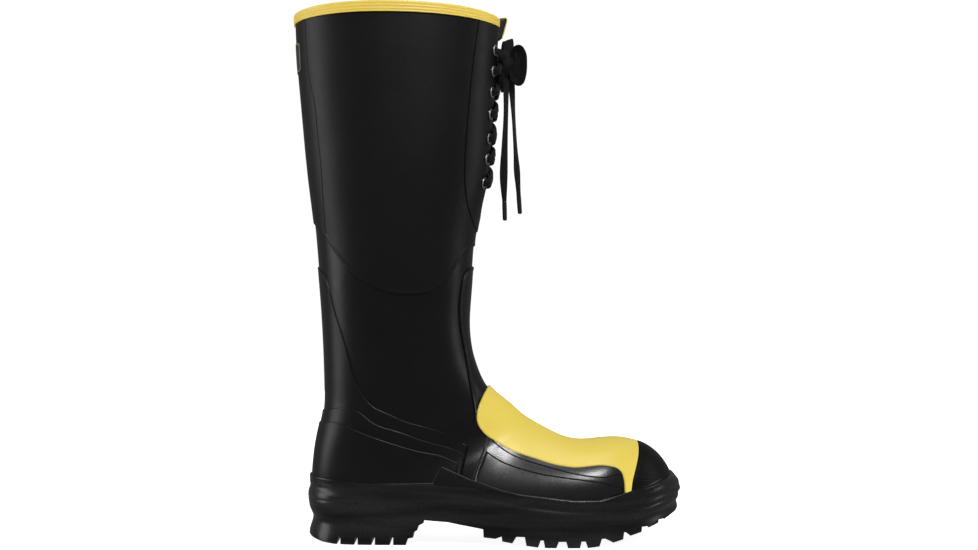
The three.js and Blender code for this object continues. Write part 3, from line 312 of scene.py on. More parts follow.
def inward_of(ring):
    """Unit directions into a closed outline at each of its points."""
    tangent = unit(np.roll(ring, -1, axis=0) - np.roll(ring, 1, axis=0))
    inward = np.stack([-tangent[:, 1], tangent[:, 0]], axis=1)
    if ((ring.mean(axis=0) - ring) * inward).sum() < 0:
        inward = -inward
    return inward


def grid_quads(rows, columns):
    """Corner numbers of the quads of a grid whose rows close on themselves."""
    index = np.arange(rows * columns).reshape(rows, columns)
    a = index[:-1]
    b = np.roll(index, -1, axis=1)[:-1]
    return np.stack([a, b, b + columns, a + columns], axis=-1).reshape(-1, 4)


def capped_faces(rows, columns):
    """The grid's quads and one face over each end of it."""
    first = list(range(columns))[::-1]
    last = list(range((rows - 1) * columns, rows * columns))
    return grid_quads(rows, columns).tolist() + [first, last]


def faces_against(vertices, faces, normals):
    """Whether the faces wind against the given vertex normals."""
    corners = np.array([f[:3] for f in faces])
    a, b, c = (vertices[corners[:, k]] for k in range(3))
    return (np.cross(b - a, c - a) * normals[corners[:, 1]]).sum() < 0


def make_mesh(name, vertices, faces, material, slot, normals=None, uvs=None, edge_mm=None):
    """A smooth mesh object from millimetre vertices, riding on the boot."""
    if normals is not None and faces_against(vertices, faces, normals):
        faces = [f[::-1] for f in faces]
    mesh = bpy.data.meshes.new(name)
    mesh.from_pydata(to_frame(vertices).tolist(), [], [list(map(int, f)) for f in faces])
    mesh.polygons.foreach_set("use_smooth", [True] * len(mesh.polygons))
    if edge_mm is not None:
        layer = mesh.attributes.new("edge_mm", "FLOAT", "POINT")
        layer.data.foreach_set("value", np.asarray(edge_mm, np.float32))
    if uvs is not None:
        layer = mesh.uv_layers.new(name="along")
        loops = np.empty(len(mesh.loops), np.int32)
        mesh.loops.foreach_get("vertex_index", loops)
        layer.data.foreach_set("uv", np.asarray(uvs, np.float32)[loops].ravel())
    mesh.update()
    if normals is not None:
        mesh.normals_split_custom_set_from_vertices(unit(np.asarray(normals, float)).tolist())
    obj = bpy.data.objects.new(name, mesh)
    bpy.context.collection.objects.link(obj)
    obj.data.materials.append(material)
    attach(obj, "root")
    return obj


def stand_in(node, vertices, faces, material, slot, **extras):
    """The visible piece that stands for one CAD node."""
    obj = make_mesh(node + "_look", vertices, faces, material, slot, **extras)
    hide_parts(node)
    return obj


# ---------------------------------------------------------------- the boot's surface as a dense grid
class Grid:
    """Points and outward normals in rows (down the boot) and columns (round it, closed)."""

    def __init__(self, points, normals):
        self.points = points
        self.normals = normals


def ring_profiles(rows, columns):
    """Closed rings from station rows: each an even spacing of points round its rounded section."""
    front = rows[:, [0, 1]]
    back = rows[:, [2, 3]]
    axis = front - back
    length = np.linalg.norm(axis, axis=1)
    axis = axis / length[:, None]
    half, centre_y, widest, round_front, round_back = rows[:, 4:9].T
    centre = front - axis * (widest * length)[:, None]
    theta = np.linspace(0, math.pi, 1201)
    c = np.cos(theta)[None, :]
    s = np.sin(theta)[None, :]
    reach = np.where(c >= 0, (widest * length)[:, None], ((1 - widest) * length)[:, None])
    power = np.where(c >= 0, round_front[:, None], round_back[:, None])
    rho = ((np.abs(c) / reach) ** power + (np.abs(s) / half[:, None]) ** power) ** (-1 / power)
    along = rho * c
    across = rho * s
    steps = np.hypot(np.diff(along, axis=1), np.diff(across, axis=1))
    travel = np.concatenate([np.zeros((len(rows), 1)), np.cumsum(steps, axis=1)], axis=1)
    wanted = np.linspace(0, 1, columns // 2 + 1)
    points = np.zeros((len(rows), columns, 3))
    for i in range(len(rows)):
        a = np.interp(wanted * travel[i, -1], travel[i], along[i])
        b = np.interp(wanted * travel[i, -1], travel[i], across[i])
        a = np.concatenate([a, a[-2:0:-1]])
        b = np.concatenate([b, -b[-2:0:-1]])
        points[i, :, 0] = centre[i, 0] + axis[i, 0] * a
        points[i, :, 2] = centre[i, 1] + axis[i, 1] * a
        points[i, :, 1] = centre_y[i] + b
    return points


def grid_normals(points):
    """Outward normals of a closed grid of points."""
    across = np.roll(points, -1, axis=1) - np.roll(points, 1, axis=1)
    down = np.gradient(points, axis=0)
    normals = unit(np.cross(down, across))
    outward = points - points.mean(axis=1, keepdims=True)
    if (normals * outward).sum() < 0:
        normals = -normals
    return normals


def boot_grid(first, last, spacing, columns):
    """The outer face of the shell between two stations."""
    front_steps = np.linalg.norm(np.diff(STATIONS[:, :2], axis=0), axis=1)
    back_steps = np.linalg.norm(np.diff(STATIONS[:, 2:4], axis=0), axis=1)
    knots = np.concatenate([[0], np.cumsum((front_steps + back_steps) / 2)])
    count = int((knots[last] - knots[first]) / spacing) + 1
    at = np.linspace(knots[first], knots[last], count)
    points = ring_profiles(natural_spline(knots, STATIONS, at), columns)
    points = points + unit(grid_normals(points)) * soft_waves(points)[..., None]
    return Grid(points, grid_normals(points))


def soft_waves(points):
    """Slight unevenness of hand-lasted rubber, under half a millimetre."""
    x, y, z = points[..., 0], points[..., 1], points[..., 2]
    leg = np.clip((z - 120) / 80, 0, 1)
    wave = 0.16 * np.sin(z / 27 + y / 31 + 0.7) * np.sin(x / 38 - z / 61)
    wave += 0.10 * np.sin(z / 13.0 - x / 29 + y / 17 + 2.1)
    ankle = np.exp(-(((z - 150) / 34) ** 2)) * np.clip((x + 60) / 50, 0, 1)
    wave += 0.35 * ankle * np.sin(z / 7.6 + x / 23 + y / 40)
    return wave * (0.35 + 0.65 * leg) * np.clip((438 - z) / 12, 0, 1)


# The whole boot, and a finer grid of its toe for the ribbed cap.
BOOT = boot_grid(0, 25, 1.3, 380)
TOE = boot_grid(20, 25, 0.5, 640)
SURFACE = BVHTree.FromPolygons(
    BOOT.points.reshape(-1, 3).tolist(), grid_quads(*BOOT.points.shape[:2]).tolist()
)


def front_point(y, z, distance=0.0):
    """A point over the front of the leg at a sideways place and height, and the outward normal there."""
    hit, normal, _, _ = SURFACE.ray_cast(Vector((260, y, z)), Vector((-1, 0, 0)))
    normal = np.array(normal)
    if normal[0] < 0:
        normal = -normal
    return np.array(hit) + normal * distance, normal


# ---------------------------------------------------------------- side outlines as distance fields
class SideField:
    """Signed distance, positive inside, to a closed outline seen square-on from the side."""

    CELL = 0.5
    REACH = 7.0
    LOW = np.array([-190.0, -10.0])
    HIGH = np.array([200.0, 470.0])

    def __init__(self, outline):
        cell = self.CELL
        xs = np.arange(self.LOW[0], self.HIGH[0], cell)
        zs = np.arange(self.LOW[1], self.HIGH[1], cell)
        distance = np.full((len(xs), len(zs)), self.REACH)
        points = np.asarray(outline, float)
        self._stamp(points, xs, zs, distance)
        sign = self._inside(points, xs, zs)
        self.value = np.where(sign, distance, -distance)
        self.slope = np.gradient(self.value, cell)

    def _stamp(self, points, xs, zs, distance):
        """Lowers the distances near each short piece of the outline."""
        cell = self.CELL
        for a, b in zip(points, np.roll(points, -1, axis=0)):
            pieces = max(1, int(np.linalg.norm(b - a) / 2.5))
            for k in range(pieces):
                p = a + (b - a) * k / pieces
                q = a + (b - a) * (k + 1) / pieces
                low = np.floor((np.minimum(p, q) - self.REACH - self.LOW) / cell).astype(int)
                high = np.ceil((np.maximum(p, q) + self.REACH - self.LOW) / cell).astype(int)
                i0, j0 = np.maximum(low, 0)
                i1, j1 = np.minimum(high, [len(xs), len(zs)])
                if i0 >= i1 or j0 >= j1:
                    continue
                dx = xs[i0:i1, None] - p[0]
                dz = zs[None, j0:j1] - p[1]
                span = q - p
                t = np.clip((dx * span[0] + dz * span[1]) / max(span @ span, 1e-9), 0, 1)
                d = np.hypot(dx - t * span[0], dz - t * span[1])
                window = distance[i0:i1, j0:j1]
                np.minimum(window, d, out=window)

    @staticmethod
    def _inside(points, xs, zs):
        """Even-odd test of every cell, row by row."""
        a = points
        b = np.roll(points, -1, axis=0)
        inside = np.zeros((len(xs), len(zs)), bool)
        for j, z in enumerate(zs):
            crossing = (a[:, 1] > z) != (b[:, 1] > z)
            if crossing.any():
                pa, pb = a[crossing], b[crossing]
                where = np.sort(pa[:, 0] + (z - pa[:, 1]) / (pb[:, 1] - pa[:, 1]) * (pb[:, 0] - pa[:, 0]))
                inside[:, j] = np.searchsorted(where, xs) % 2 == 1
        return inside

    def read(self, table, x, z):
        """A table's values at any places, blended between cells."""
        u = np.clip((x - self.LOW[0]) / self.CELL, 0, table.shape[0] - 1.001)
        v = np.clip((z - self.LOW[1]) / self.CELL, 0, table.shape[1] - 1.001)
        i, j = u.astype(int), v.astype(int)
        du, dv = u - i, v - j
        low = table[i, j] * (1 - dv) + table[i, j + 1] * dv
        high = table[i + 1, j] * (1 - dv) + table[i + 1, j + 1] * dv
        return low * (1 - du) + high * du

    def on(self, grid):
        """Distance to the edge measured over the surface, and the unit direction out across that edge."""
        x, z = grid.points[..., 0], grid.points[..., 2]
        value = self.read(self.value, x, z)
        along, up = self.read(self.slope[0], x, z), self.read(self.slope[1], x, z)
        return over_surface(grid, value, np.stack([along, np.zeros_like(x), up], axis=-1))


def over_surface(grid, value, slope):
    """A distance seen from the side turned into one over the surface, with its outward direction."""
    tangent = slope - (slope * grid.normals).sum(-1, keepdims=True) * grid.normals
    size = np.linalg.norm(tangent, axis=-1)
    return value / np.clip(size, 0.15, None), -unit(tangent)


def nearest_edge(*fields):
    """The smaller of several distances, with its own outward direction."""
    value, out = fields[0]
    for other_value, other_out in fields[1:]:
        closer = other_value < value
        value = np.where(closer, other_value, value)
        out = np.where(closer[..., None], other_out, out)
    return value, out


def band_field(grid, value, direction):
    """A field from plain numbers: value positive inside, direction the way it grows."""
    slope = np.broadcast_to(np.asarray(direction, float), grid.points.shape)
    return over_surface(grid, value, slope)


def slit_field(grid, extra=0.0):
    """Positive outside the throat slit."""
    x, y, z = grid.points[..., 0], grid.points[..., 1], grid.points[..., 2]
    squash = SLIT["half"] / (SLIT["round_z"] - SLIT["bottom_z"])
    below = np.maximum(SLIT["round_z"] - z, 0) * squash
    value = np.hypot(y, below) - SLIT["half"] - extra
    value = np.where(x < -60, 50.0, value)
    slope = np.stack([np.zeros_like(y), y, -below * squash], axis=-1)
    return over_surface(grid, value, unit(slope))


def holes_field(grid, seats, radius):
    """Positive outside the eyelet holes."""
    points = grid.points
    value = np.full(points.shape[:2], 50.0)
    out = np.zeros_like(points)
    for position, _ in seats:
        away = points - position
        distance = np.linalg.norm(away, axis=-1) - radius
        closer = distance < value
        value = np.where(closer, distance, value)
        out = np.where(closer[..., None], -unit(away), out)
    return value, out


# ---------------------------------------------------------------- cutting a rubber piece out of a grid
EDGE_ANGLES = [22.5, 45, 67.5, 90]


class EdgeCuts:
    """Places where a piece's outline crosses the grid's edges, numbered -1, -2 and so on."""

    def __init__(self, inset):
        self.inset = inset
        self.numbers = {}
        self.shares = []

    def between(self, p, q):
        """The number of the crossing between two grid points."""
        key = (p, q) if p < q else (q, p)
        if key not in self.numbers:
            first, second = self.inset[key[0]], self.inset[key[1]]
            self.numbers[key] = -1 - len(self.numbers)
            self.shares.append(min(0.97, max(0.03, first / (first - second))))
        return self.numbers[key]

    def blend(self, table):
        """A table's values at the crossings."""
        pairs = np.array(list(self.numbers), int).reshape(-1, 2)
        share = np.array(self.shares)[:, None]
        return table[pairs[:, 0]] * (1 - share) + table[pairs[:, 1]] * share


def trim_quads(quads, cuts):
    """The inside part of each quad that the outline crosses, and the rims between its crossings."""
    polygons, rims = [], []
    for quad in quads.tolist():
        polygon, leaving = [], []
        for k in range(4):
            p, q = quad[k], quad[(k + 1) % 4]
            p_in, q_in = cuts.inset[p] > 0, cuts.inset[q] > 0
            if p_in:
                polygon.append(p)
            if p_in and not q_in:
                leaving.append(len(polygon))
            if p_in != q_in:
                polygon.append(cuts.between(p, q))
        polygons.append(polygon)
        rims += [(polygon[k], polygon[(k + 1) % len(polygon)]) for k in leaving]
    return polygons, rims


def rounded_skirt(points, normals, out, height, floor, edge):
    """Points, normals and edge distances of the rows from the top's rim round and down to the floor."""
    drop = np.minimum(np.maximum(height - floor, 0.05), edge * 1.2)
    rows = [(points + normals * height, normals, np.full(len(points), edge))]
    for degrees in EDGE_ANGLES:
        turn = math.radians(degrees)
        away = out * (edge * math.sin(turn))
        down = normals * (height - drop * (1 - math.cos(turn)))
        leaning = unit(normals * math.cos(turn) / drop + out * math.sin(turn) / edge)
        rows.append((points + away + down, leaning, np.full(len(points), edge * (1 - math.sin(turn)))))
    foot = points + out * edge + normals * np.minimum(floor, height - 0.05)
    rows.append((foot, out, np.zeros(len(points))))
    return rows


def cut_piece(grid, field, top, floor, edge=0.9):
    """Vertices, faces, normals and edge distance of a piece laid over the grid inside a field.

    top is its height over the grid, a number or an array; its rounded edge runs down to the height floor.
    """
    value, out = field
    points, normals = grid.points.reshape(-1, 3), grid.normals.reshape(-1, 3)
    height = np.broadcast_to(np.asarray(top, float), value.shape).reshape(-1, 1)
    cuts = EdgeCuts(value.ravel() - edge)
    corners = grid_quads(*value.shape)
    count = (cuts.inset > 0)[corners].sum(axis=1)
    full = corners[count == 4]
    polygons, rims = trim_quads(corners[(count > 0) & (count < 4)], cuts)

    kept = [v for polygon in polygons for v in polygon if v >= 0]
    used = np.unique(np.concatenate([full.ravel(), kept]).astype(int))
    new_index = np.full(value.size, -1)
    new_index[used] = np.arange(len(used))
    cut_normals, cut_out = unit(cuts.blend(normals)), cuts.blend(out.reshape(-1, 3))
    cut_out = unit(cut_out - (cut_out * cut_normals).sum(-1, keepdims=True) * cut_normals)
    rows = [(points[used] + normals[used] * height[used], normals[used], value.ravel()[used])]
    rows += rounded_skirt(cuts.blend(points), cut_normals, cut_out, cuts.blend(height), floor, edge)

    def number(v):
        return new_index[v] if v >= 0 else len(used) - 1 - v

    faces = new_index[full].tolist() + [[number(v) for v in polygon] for polygon in polygons]
    level = len(cuts.numbers)
    for first, second in rims:
        i, j = number(first), number(second)
        for start in range(0, level * (len(EDGE_ANGLES) + 1), level):
            faces.append([j + start, i + start, i + start + level, j + start + level])
    vertices, lean, distance = (np.concatenate(column) for column in zip(*rows))
    return vertices, faces, lean, distance


def lay_piece(name, grid, field, top, floor, material, slot, edge=0.9, flip=False):
    """Cuts a piece and makes it the visible stand-in for the CAD node of the same name."""
    vertices, faces, normals, distance = cut_piece(grid, field, top, floor, edge)
    if np.ndim(top) > 0:
        relief = Grid(grid.points, grid_normals(grid.points + grid.normals * top[..., None]))
        normals = cut_piece(relief, field, top, floor, edge)[2]
    if flip:
        normals = -normals
    return stand_in(name, vertices, faces, material, slot, normals=normals, edge_mm=distance)


# ---------------------------------------------------------------- materials
class Nodes:
    """A small wrapper for building a node material."""

    def __init__(self, name, roughness, colour=None, **inputs):
        self.material = bpy.data.materials.new(name)
        self.material.use_nodes = True
        self.tree = self.material.node_tree
        self.shader = self.tree.nodes["Principled BSDF"]
        self.shader.inputs["Roughness"].default_value = roughness
        if colour is not None:
            self.shader.inputs["Base Color"].default_value = (*colour, 1)
        for key, value in inputs.items():
            self.shader.inputs[key.replace("_", " ")].default_value = value

    def add(self, kind, **settings):
        """A new node, with inputs set by name and other settings as its own properties."""
        node = self.tree.nodes.new(kind)
        for key, value in settings.items():
            if key in node.inputs:
                node.inputs[key].default_value = value
            else:
                setattr(node, key, value)
        return node

    def link(self, source, target):
        self.tree.links.new(source, target)

    def calc(self, operation, first, second=None):
        """A math node; second is an output or a plain number."""
        node = self.add("ShaderNodeMath", operation=operation)
        self.link(first, node.inputs[0])
        if isinstance(second, float):
            node.inputs[1].default_value = second
        elif second is not None:
            self.link(second, node.inputs[1])
        return node.outputs[0]

    def split(self, vector):
        """The X, Y and Z of a vector."""
        node = self.add("ShaderNodeSeparateXYZ")
        self.link(vector, node.inputs[0])
        return node.outputs

    def place(self):
        """Object coordinates, in metres."""
        return self.add("ShaderNodeTexCoord").outputs["Object"]

    def noise(self, vector, scale, detail=3.0):
        """Fractal noise, 0 to 1; scale is in cells per metre."""
        node = self.add("ShaderNodeTexNoise", Scale=scale, Detail=detail)
        self.link(vector, node.inputs["Vector"])
        return node.outputs["Fac"]

    def spread(self, value, low, high):
        """A 0 to 1 value mapped onto low to high."""
        node = self.add("ShaderNodeMapRange")
        node.inputs["To Min"].default_value = low
        node.inputs["To Max"].default_value = high
        self.link(value, node.inputs["Value"])
        return node.outputs["Result"]

    def bump(self, height, strength, distance, normal=None):
        """A bumped normal; distance is in metres, normal an earlier bump to add to."""
        node = self.add("ShaderNodeBump")
        node.inputs["Strength"].default_value = strength
        node.inputs["Distance"].default_value = distance
        self.link(height, node.inputs["Height"])
        if normal is not None:
            self.link(normal, node.inputs["Normal"])
        return node.outputs["Normal"]

    def mix_colour(self, factor, first, second):
        """A blend of two colours."""
        node = self.add("ShaderNodeMix", data_type="RGBA")
        node.inputs["A"].default_value = (*first, 1)
        node.inputs["B"].default_value = (*second, 1)
        self.link(factor, node.inputs["Factor"])
        return node.outputs["Result"]

    def finish(self, colour=None, roughness=None, normal=None):
        """Links what is given to the shader and returns the material."""
        if colour is not None:
            self.link(colour, self.shader.inputs["Base Color"])
        if roughness is not None:
            self.link(roughness, self.shader.inputs["Roughness"])
        if normal is not None:
            self.link(normal, self.shader.inputs["Normal"])
        return self.material


def rubber(name, colour, worn, rough, grain_scale, grain_depth, shine):
    """Moulded rubber: mottled roughness, fine grain and faint scuffs."""
    n = Nodes(name, rough[0], Specular_IOR_Level=shine)
    place = n.place()
    mottle = n.noise(place, 38, 4)
    colour_out = n.mix_colour(n.spread(mottle, 0.2, 0.9), colour, worn)
    roughness = n.spread(n.noise(place, 210, 3), rough[0], rough[1])
    grain = n.bump(n.noise(place, grain_scale, 2), 0.5, grain_depth)
    soft = n.bump(n.noise(place, 55, 2), 0.25, grain_depth * 2.5, grain)
    return n.finish(colour_out, roughness, soft)


def sole_rubber(name):
    """Moulded sole rubber: a polished black skin with long faint streaks along the sole, painted lighter and
    darker as painted reflection bands, and also used as a faint bump.
    """
    n = Nodes(name, 0.3, Specular_IOR_Level=0.36)
    place = n.place()
    stretch = n.add("ShaderNodeMapping")
    stretch.inputs["Scale"].default_value = (0.1, 0.1, 1.0)
    n.link(place, stretch.inputs["Vector"])
    # Long level streaks: the lighter and darker colour they give is painted reflection, bands of light the
    # sole would catch; the same streaks also make a faint real bump.
    streak_ripple_and_painted_reflection = n.noise(stretch.outputs["Vector"], 95, 3)
    colour = n.mix_colour(n.spread(streak_ripple_and_painted_reflection, -1.1, 2.1), (0.0020, 0.0020, 0.0022), (0.0118, 0.0118, 0.0121))
    roughness = n.spread(n.noise(place, 210, 3), 0.22, 0.34)
    grain = n.bump(n.noise(place, 500, 2), 0.5, 0.00005)
    soft = n.bump(streak_ripple_and_painted_reflection, 0.25, 0.0003, grain)
    return n.finish(colour, roughness, soft)


def waves_along(n, axis_output, pitch):
    """0..1 ripples of one pitch in metres along a coordinate."""
    turns = n.calc("MULTIPLY", axis_output, 2 * math.pi / pitch)
    return n.spread(n.calc("SINE", turns), 0.0, 1.0)


def yellow_cover_material():
    """Smooth yellow rubber of the instep cover."""
    n = Nodes("yellow_rubber_look", 0.4)
    place = n.place()
    mottle = n.noise(place, 45, 4)
    colour = n.mix_colour(n.spread(mottle, 0.2, 0.8), (0.80, 0.61, 0.085), (0.84, 0.66, 0.115))
    roughness = n.spread(n.noise(place, 160, 3), 0.34, 0.46)
    grain = n.bump(n.noise(place, 1500, 2), 0.35, 0.0001)
    return n.finish(colour, roughness, grain)


def label_material():
    """Blank label: black ground with one thin printed line just inside its edge."""
    n = Nodes("label_look", 0.45)
    edge = n.add("ShaderNodeAttribute", attribute_name="edge_mm")
    ramp = n.add("ShaderNodeValToRGB")
    ramp.color_ramp.interpolation = "CONSTANT"
    stops = ramp.color_ramp.elements
    ground, line = (0.016, 0.016, 0.015, 1), (0.30, 0.26, 0.09, 1)
    stops[0].position = 0.0
    stops[0].color = ground
    stops[1].position = 0.10
    stops[1].color = line
    stops.new(0.18).color = ground
    scaled = n.spread(edge.outputs["Fac"], 0.0, 1.0)
    scaled.node.inputs["From Max"].default_value = 10.0
    n.link(scaled, ramp.inputs["Fac"])
    grain = n.bump(n.noise(n.place(), 1800, 2), 0.4, 0.00008)
    return n.finish(ramp.outputs["Color"], None, grain)


def tape_material():
    """The rim tape: a darker, slightly browner yellow than the cover."""
    n = Nodes("yellow_tape_look", 0.42)
    place = n.place()
    colour = n.mix_colour(n.spread(n.noise(place, 120, 4), 0.2, 0.9), (0.74, 0.51, 0.055), (0.82, 0.64, 0.13))
    roughness = n.spread(n.noise(place, 300, 3), 0.36, 0.52)
    return n.finish(colour, roughness, n.bump(n.noise(place, 1600, 2), 0.4, 0.0001))


def woven(name, colour, light, pitch, depth, rough=0.85, sheen=0.35):
    """Cloth with a fine crossing weave; pitch and depth are in metres."""
    n = Nodes(name, rough, Sheen_Weight=sheen, Sheen_Roughness=0.5)
    place = n.split(n.place())
    warp = waves_along(n, n.calc("ADD", place["X"], place["Y"]), pitch)
    weft = waves_along(n, place["Z"], pitch)
    fibre = n.noise(n.place(), 900, 4)
    colour_out = n.mix_colour(n.spread(fibre, 0.1, 0.9), colour, light)
    bump = n.bump(n.calc("MULTIPLY", warp, weft), 0.7, depth)
    return n.finish(colour_out, None, n.bump(fibre, 0.3, depth * 0.6, bump))


def lace_material():
    """Flat woven lace: chevron weave from the coordinates along and around it, in metres."""
    n = Nodes("lace_look", 0.8, Sheen_Weight=0.06, Sheen_Roughness=0.4, Specular_IOR_Level=0.2)
    uv = n.split(n.add("ShaderNodeUVMap", uv_map="along").outputs[0])
    slant = n.calc("ADD", uv["X"], n.calc("PINGPONG", uv["Y"], 0.0009))
    weave = waves_along(n, slant, 0.0011)
    fibre = n.noise(n.place(), 1400, 3)
    colour = n.mix_colour(n.spread(weave, 0.0, 1.0), (0.002, 0.002, 0.002), (0.007, 0.007, 0.0073))
    bump = n.bump(weave, 0.7, 0.00025)
    return n.finish(colour, None, n.bump(fibre, 0.4, 0.0001, bump))


def metal(name, colour, rough):
    """Plated metal with a slightly uneven polish."""
    n = Nodes(name, rough, colour, Metallic=1.0)
    place = n.place()
    roughness = n.spread(n.noise(place, 900, 4), rough * 0.7, rough * 1.5)
    worn = n.mix_colour(n.noise(place, 320, 3), colour, tuple(c * 0.72 for c in colour))
    return n.finish(worn, roughness, n.bump(n.noise(place, 1800, 2), 0.2, 0.00005))


def plain_grained(name, colour, light, rough, scale, depth):
    """Felt, board or plain plastic: mottled colour, roughness and grain at one scale."""
    n = Nodes(name, rough)
    place = n.place()
    colour_out = n.mix_colour(n.spread(n.noise(place, scale, 5), 0.1, 0.9), colour, light)
    roughness = n.spread(n.noise(place, scale * 2, 3), rough * 0.85, rough)
    return n.finish(colour_out, roughness, n.bump(n.noise(place, scale * 3, 3), 0.5, depth))


BLACK, BLACK_WORN = (0.0022, 0.0022, 0.0024), (0.0055, 0.0055, 0.0058)
LEG_RUBBER = rubber("leg_rubber_look", BLACK, BLACK_WORN, (0.36, 0.46), 1300, 0.00016, 0.25)
FOOT_RUBBER = rubber("foot_rubber_look", BLACK, BLACK_WORN, (0.27, 0.39), 750, 0.00014, 0.28)
VAMP_RUBBER = rubber("vamp_rubber_look", BLACK, BLACK_WORN, (0.25, 0.31), 750, 0.00012, 0.6)
SOLE_RUBBER = sole_rubber("sole_rubber_look")
TOE_RUBBER = rubber("toe_rubber_look", BLACK, BLACK_WORN, (0.32, 0.44), 1500, 0.00005, 0.12)
YELLOW = yellow_cover_material()
LABEL = label_material()
TAPE = tape_material()
LACE = lace_material()
KNIT = woven("lining_knit_look", (0.045, 0.047, 0.052), (0.085, 0.088, 0.095), 0.0016, 0.0003)
COATED = woven(
    "coated_cloth_look", (0.003, 0.003, 0.0032), (0.008, 0.008, 0.0084), 0.0011, 0.00008,
    rough=0.5, sheen=0.03,
)
INSOLE_CLOTH = woven("insole_cloth_look", (0.06, 0.06, 0.068), (0.11, 0.11, 0.12), 0.0018, 0.0003)
METAL_GREY = (0.50, 0.51, 0.53)
EYELET_METAL = metal("eyelet_look", METAL_GREY, 0.34)
STEEL = metal("steel_look", METAL_GREY, 0.34)
FELT = plain_grained("felt_look", (0.10, 0.10, 0.11), (0.17, 0.17, 0.18), 0.95, 500, 0.0004)
GUARD = plain_grained("guard_plastic_look", (0.16, 0.16, 0.17), (0.22, 0.22, 0.23), 0.55, 120, 0.0001)
BOARD = plain_grained("fibre_board_look", (0.24, 0.16, 0.085), (0.36, 0.25, 0.14), 0.8, 260, 0.0003)
AGLET = plain_grained("aglet_look", (0.008, 0.008, 0.008), (0.013, 0.013, 0.013), 0.22, 90, 0.00002)


# ---------------------------------------------------------------- upper: shell pieces and overlays
def polygon(*parts):
    """One outline joined from several lists of points."""
    return np.vstack([np.asarray(p, float) for p in parts])


# Where the eyelets sit, outer side first and from the top down: place and outward normal.
SEATS = [front_point(side * EYELET["y"], z) for side in (-1, 1) for z in EYELET_Z]


def above_foxing(grid, allowance=-3.0):
    """Positive above the line where the foxing hides what lies under it."""
    line = height_at(FOXING_TOP, grid.points[..., 0]) + allowance
    return band_field(grid, grid.points[..., 2] - line, (0, 0, 1))


def rim_rise(y):
    """How far the tape's top stands over the plane of the rim: high at the sides, low front and back."""
    return -1.9 + 5.9 * np.clip(np.abs(y) / RIM_HALF_WIDTH, 0, 1) ** 1.6


def rim_depth(rim):
    """Share of the tape's full depth: it narrows towards the throat and a little at the back."""
    side = np.clip(np.abs(rim[:, 1]) / RIM_HALF_WIDTH, 0, 1)
    return np.where(rim[:, 0] > -77, 0.72 + 0.28 * side, 0.88 + 0.12 * side)


def below_binding(grid):
    """Positive under the lower edge of the rim tape."""
    steps = np.linalg.norm(np.diff(grid.points, axis=0), axis=2)
    travel = np.vstack([np.zeros((1, grid.points.shape[1])), np.cumsum(steps, axis=0)])
    lower = RIM_TAPE["height"] * rim_depth(grid.points[0]) - rim_rise(grid.points[0, :, 1]) - 0.8
    return band_field(grid, travel - lower, (0, 0, -1))


def build_shell():
    """The leg, the ankle and heel, and the forefoot, with the felt that shows at the rim."""
    leg_line = smooth_line(LEG_EDGE)
    leg = SideField(polygon(leg_line, [[60, 249], [60, 600], [-300, 600], [-300, 278]]))
    field = nearest_edge(leg.on(BOOT), slit_field(BOOT), holes_field(BOOT, SEATS, EYELET["clearance"]))
    height = TOP["leg"] + bead(leg.on(BOOT)[0], 1.9, 0.9, 0.38)
    lay_piece("leg_shaft", BOOT, field, height, -6.0, LEG_RUBBER, "black_rubber", 1.0)
    padding = nearest_edge(leg.on(BOOT), slit_field(BOOT, 4.0), below_binding(BOOT))
    lay_piece("leg_padding", BOOT, padding, -3.0, -5.8, FELT, "felt_padding", 1.0)
    below = leg_line + [0, 3]
    quarter = SideField(polygon(below[::-1], [[-300, 278], [-300, -60], [6, -60], [6, 110], [60, 112]]))
    lay_piece("quarter", BOOT, quarter.on(BOOT), 0.0, -2.4, FOOT_RUBBER, "black_rubber", 0.5)
    vamp_front = [[-1, 100], [20, 112], [300, 118], [300, -60], [-13.9, -60]]
    field = SideField(polygon(smooth_line(VAMP_REAR), vamp_front)).on(BOOT)
    height = TOP["vamp_shell"] + bead(field[0], 2.6, 0.9, 1.4) * over_foxing(BOOT)
    lay_piece("vamp_shell", BOOT, field, height, -0.3, VAMP_RUBBER, "black_rubber", 1.1)


def overlay(name, outline, top, floor, material, slot="black_rubber", edge=0.9, extra=()):
    """A piece of rubber inside a side outline, ending just under the foxing's top edge."""
    field = nearest_edge(SideField(outline).on(BOOT), above_foxing(BOOT), *extra)
    lay_piece(name, BOOT, field, top, floor, material, slot, edge)


def bead(distance, place, half_width, height):
    """A low rounded ridge moulded along an edge, at a distance inside it."""
    return height * np.exp(-(((distance - place) / half_width) ** 2))


def over_foxing(grid):
    """0 at the foxing's top edge and below, 1 from 8 mm above it."""
    return np.clip((grid.points[..., 2] - height_at(FOXING_TOP, grid.points[..., 0])) / 8, 0, 1)


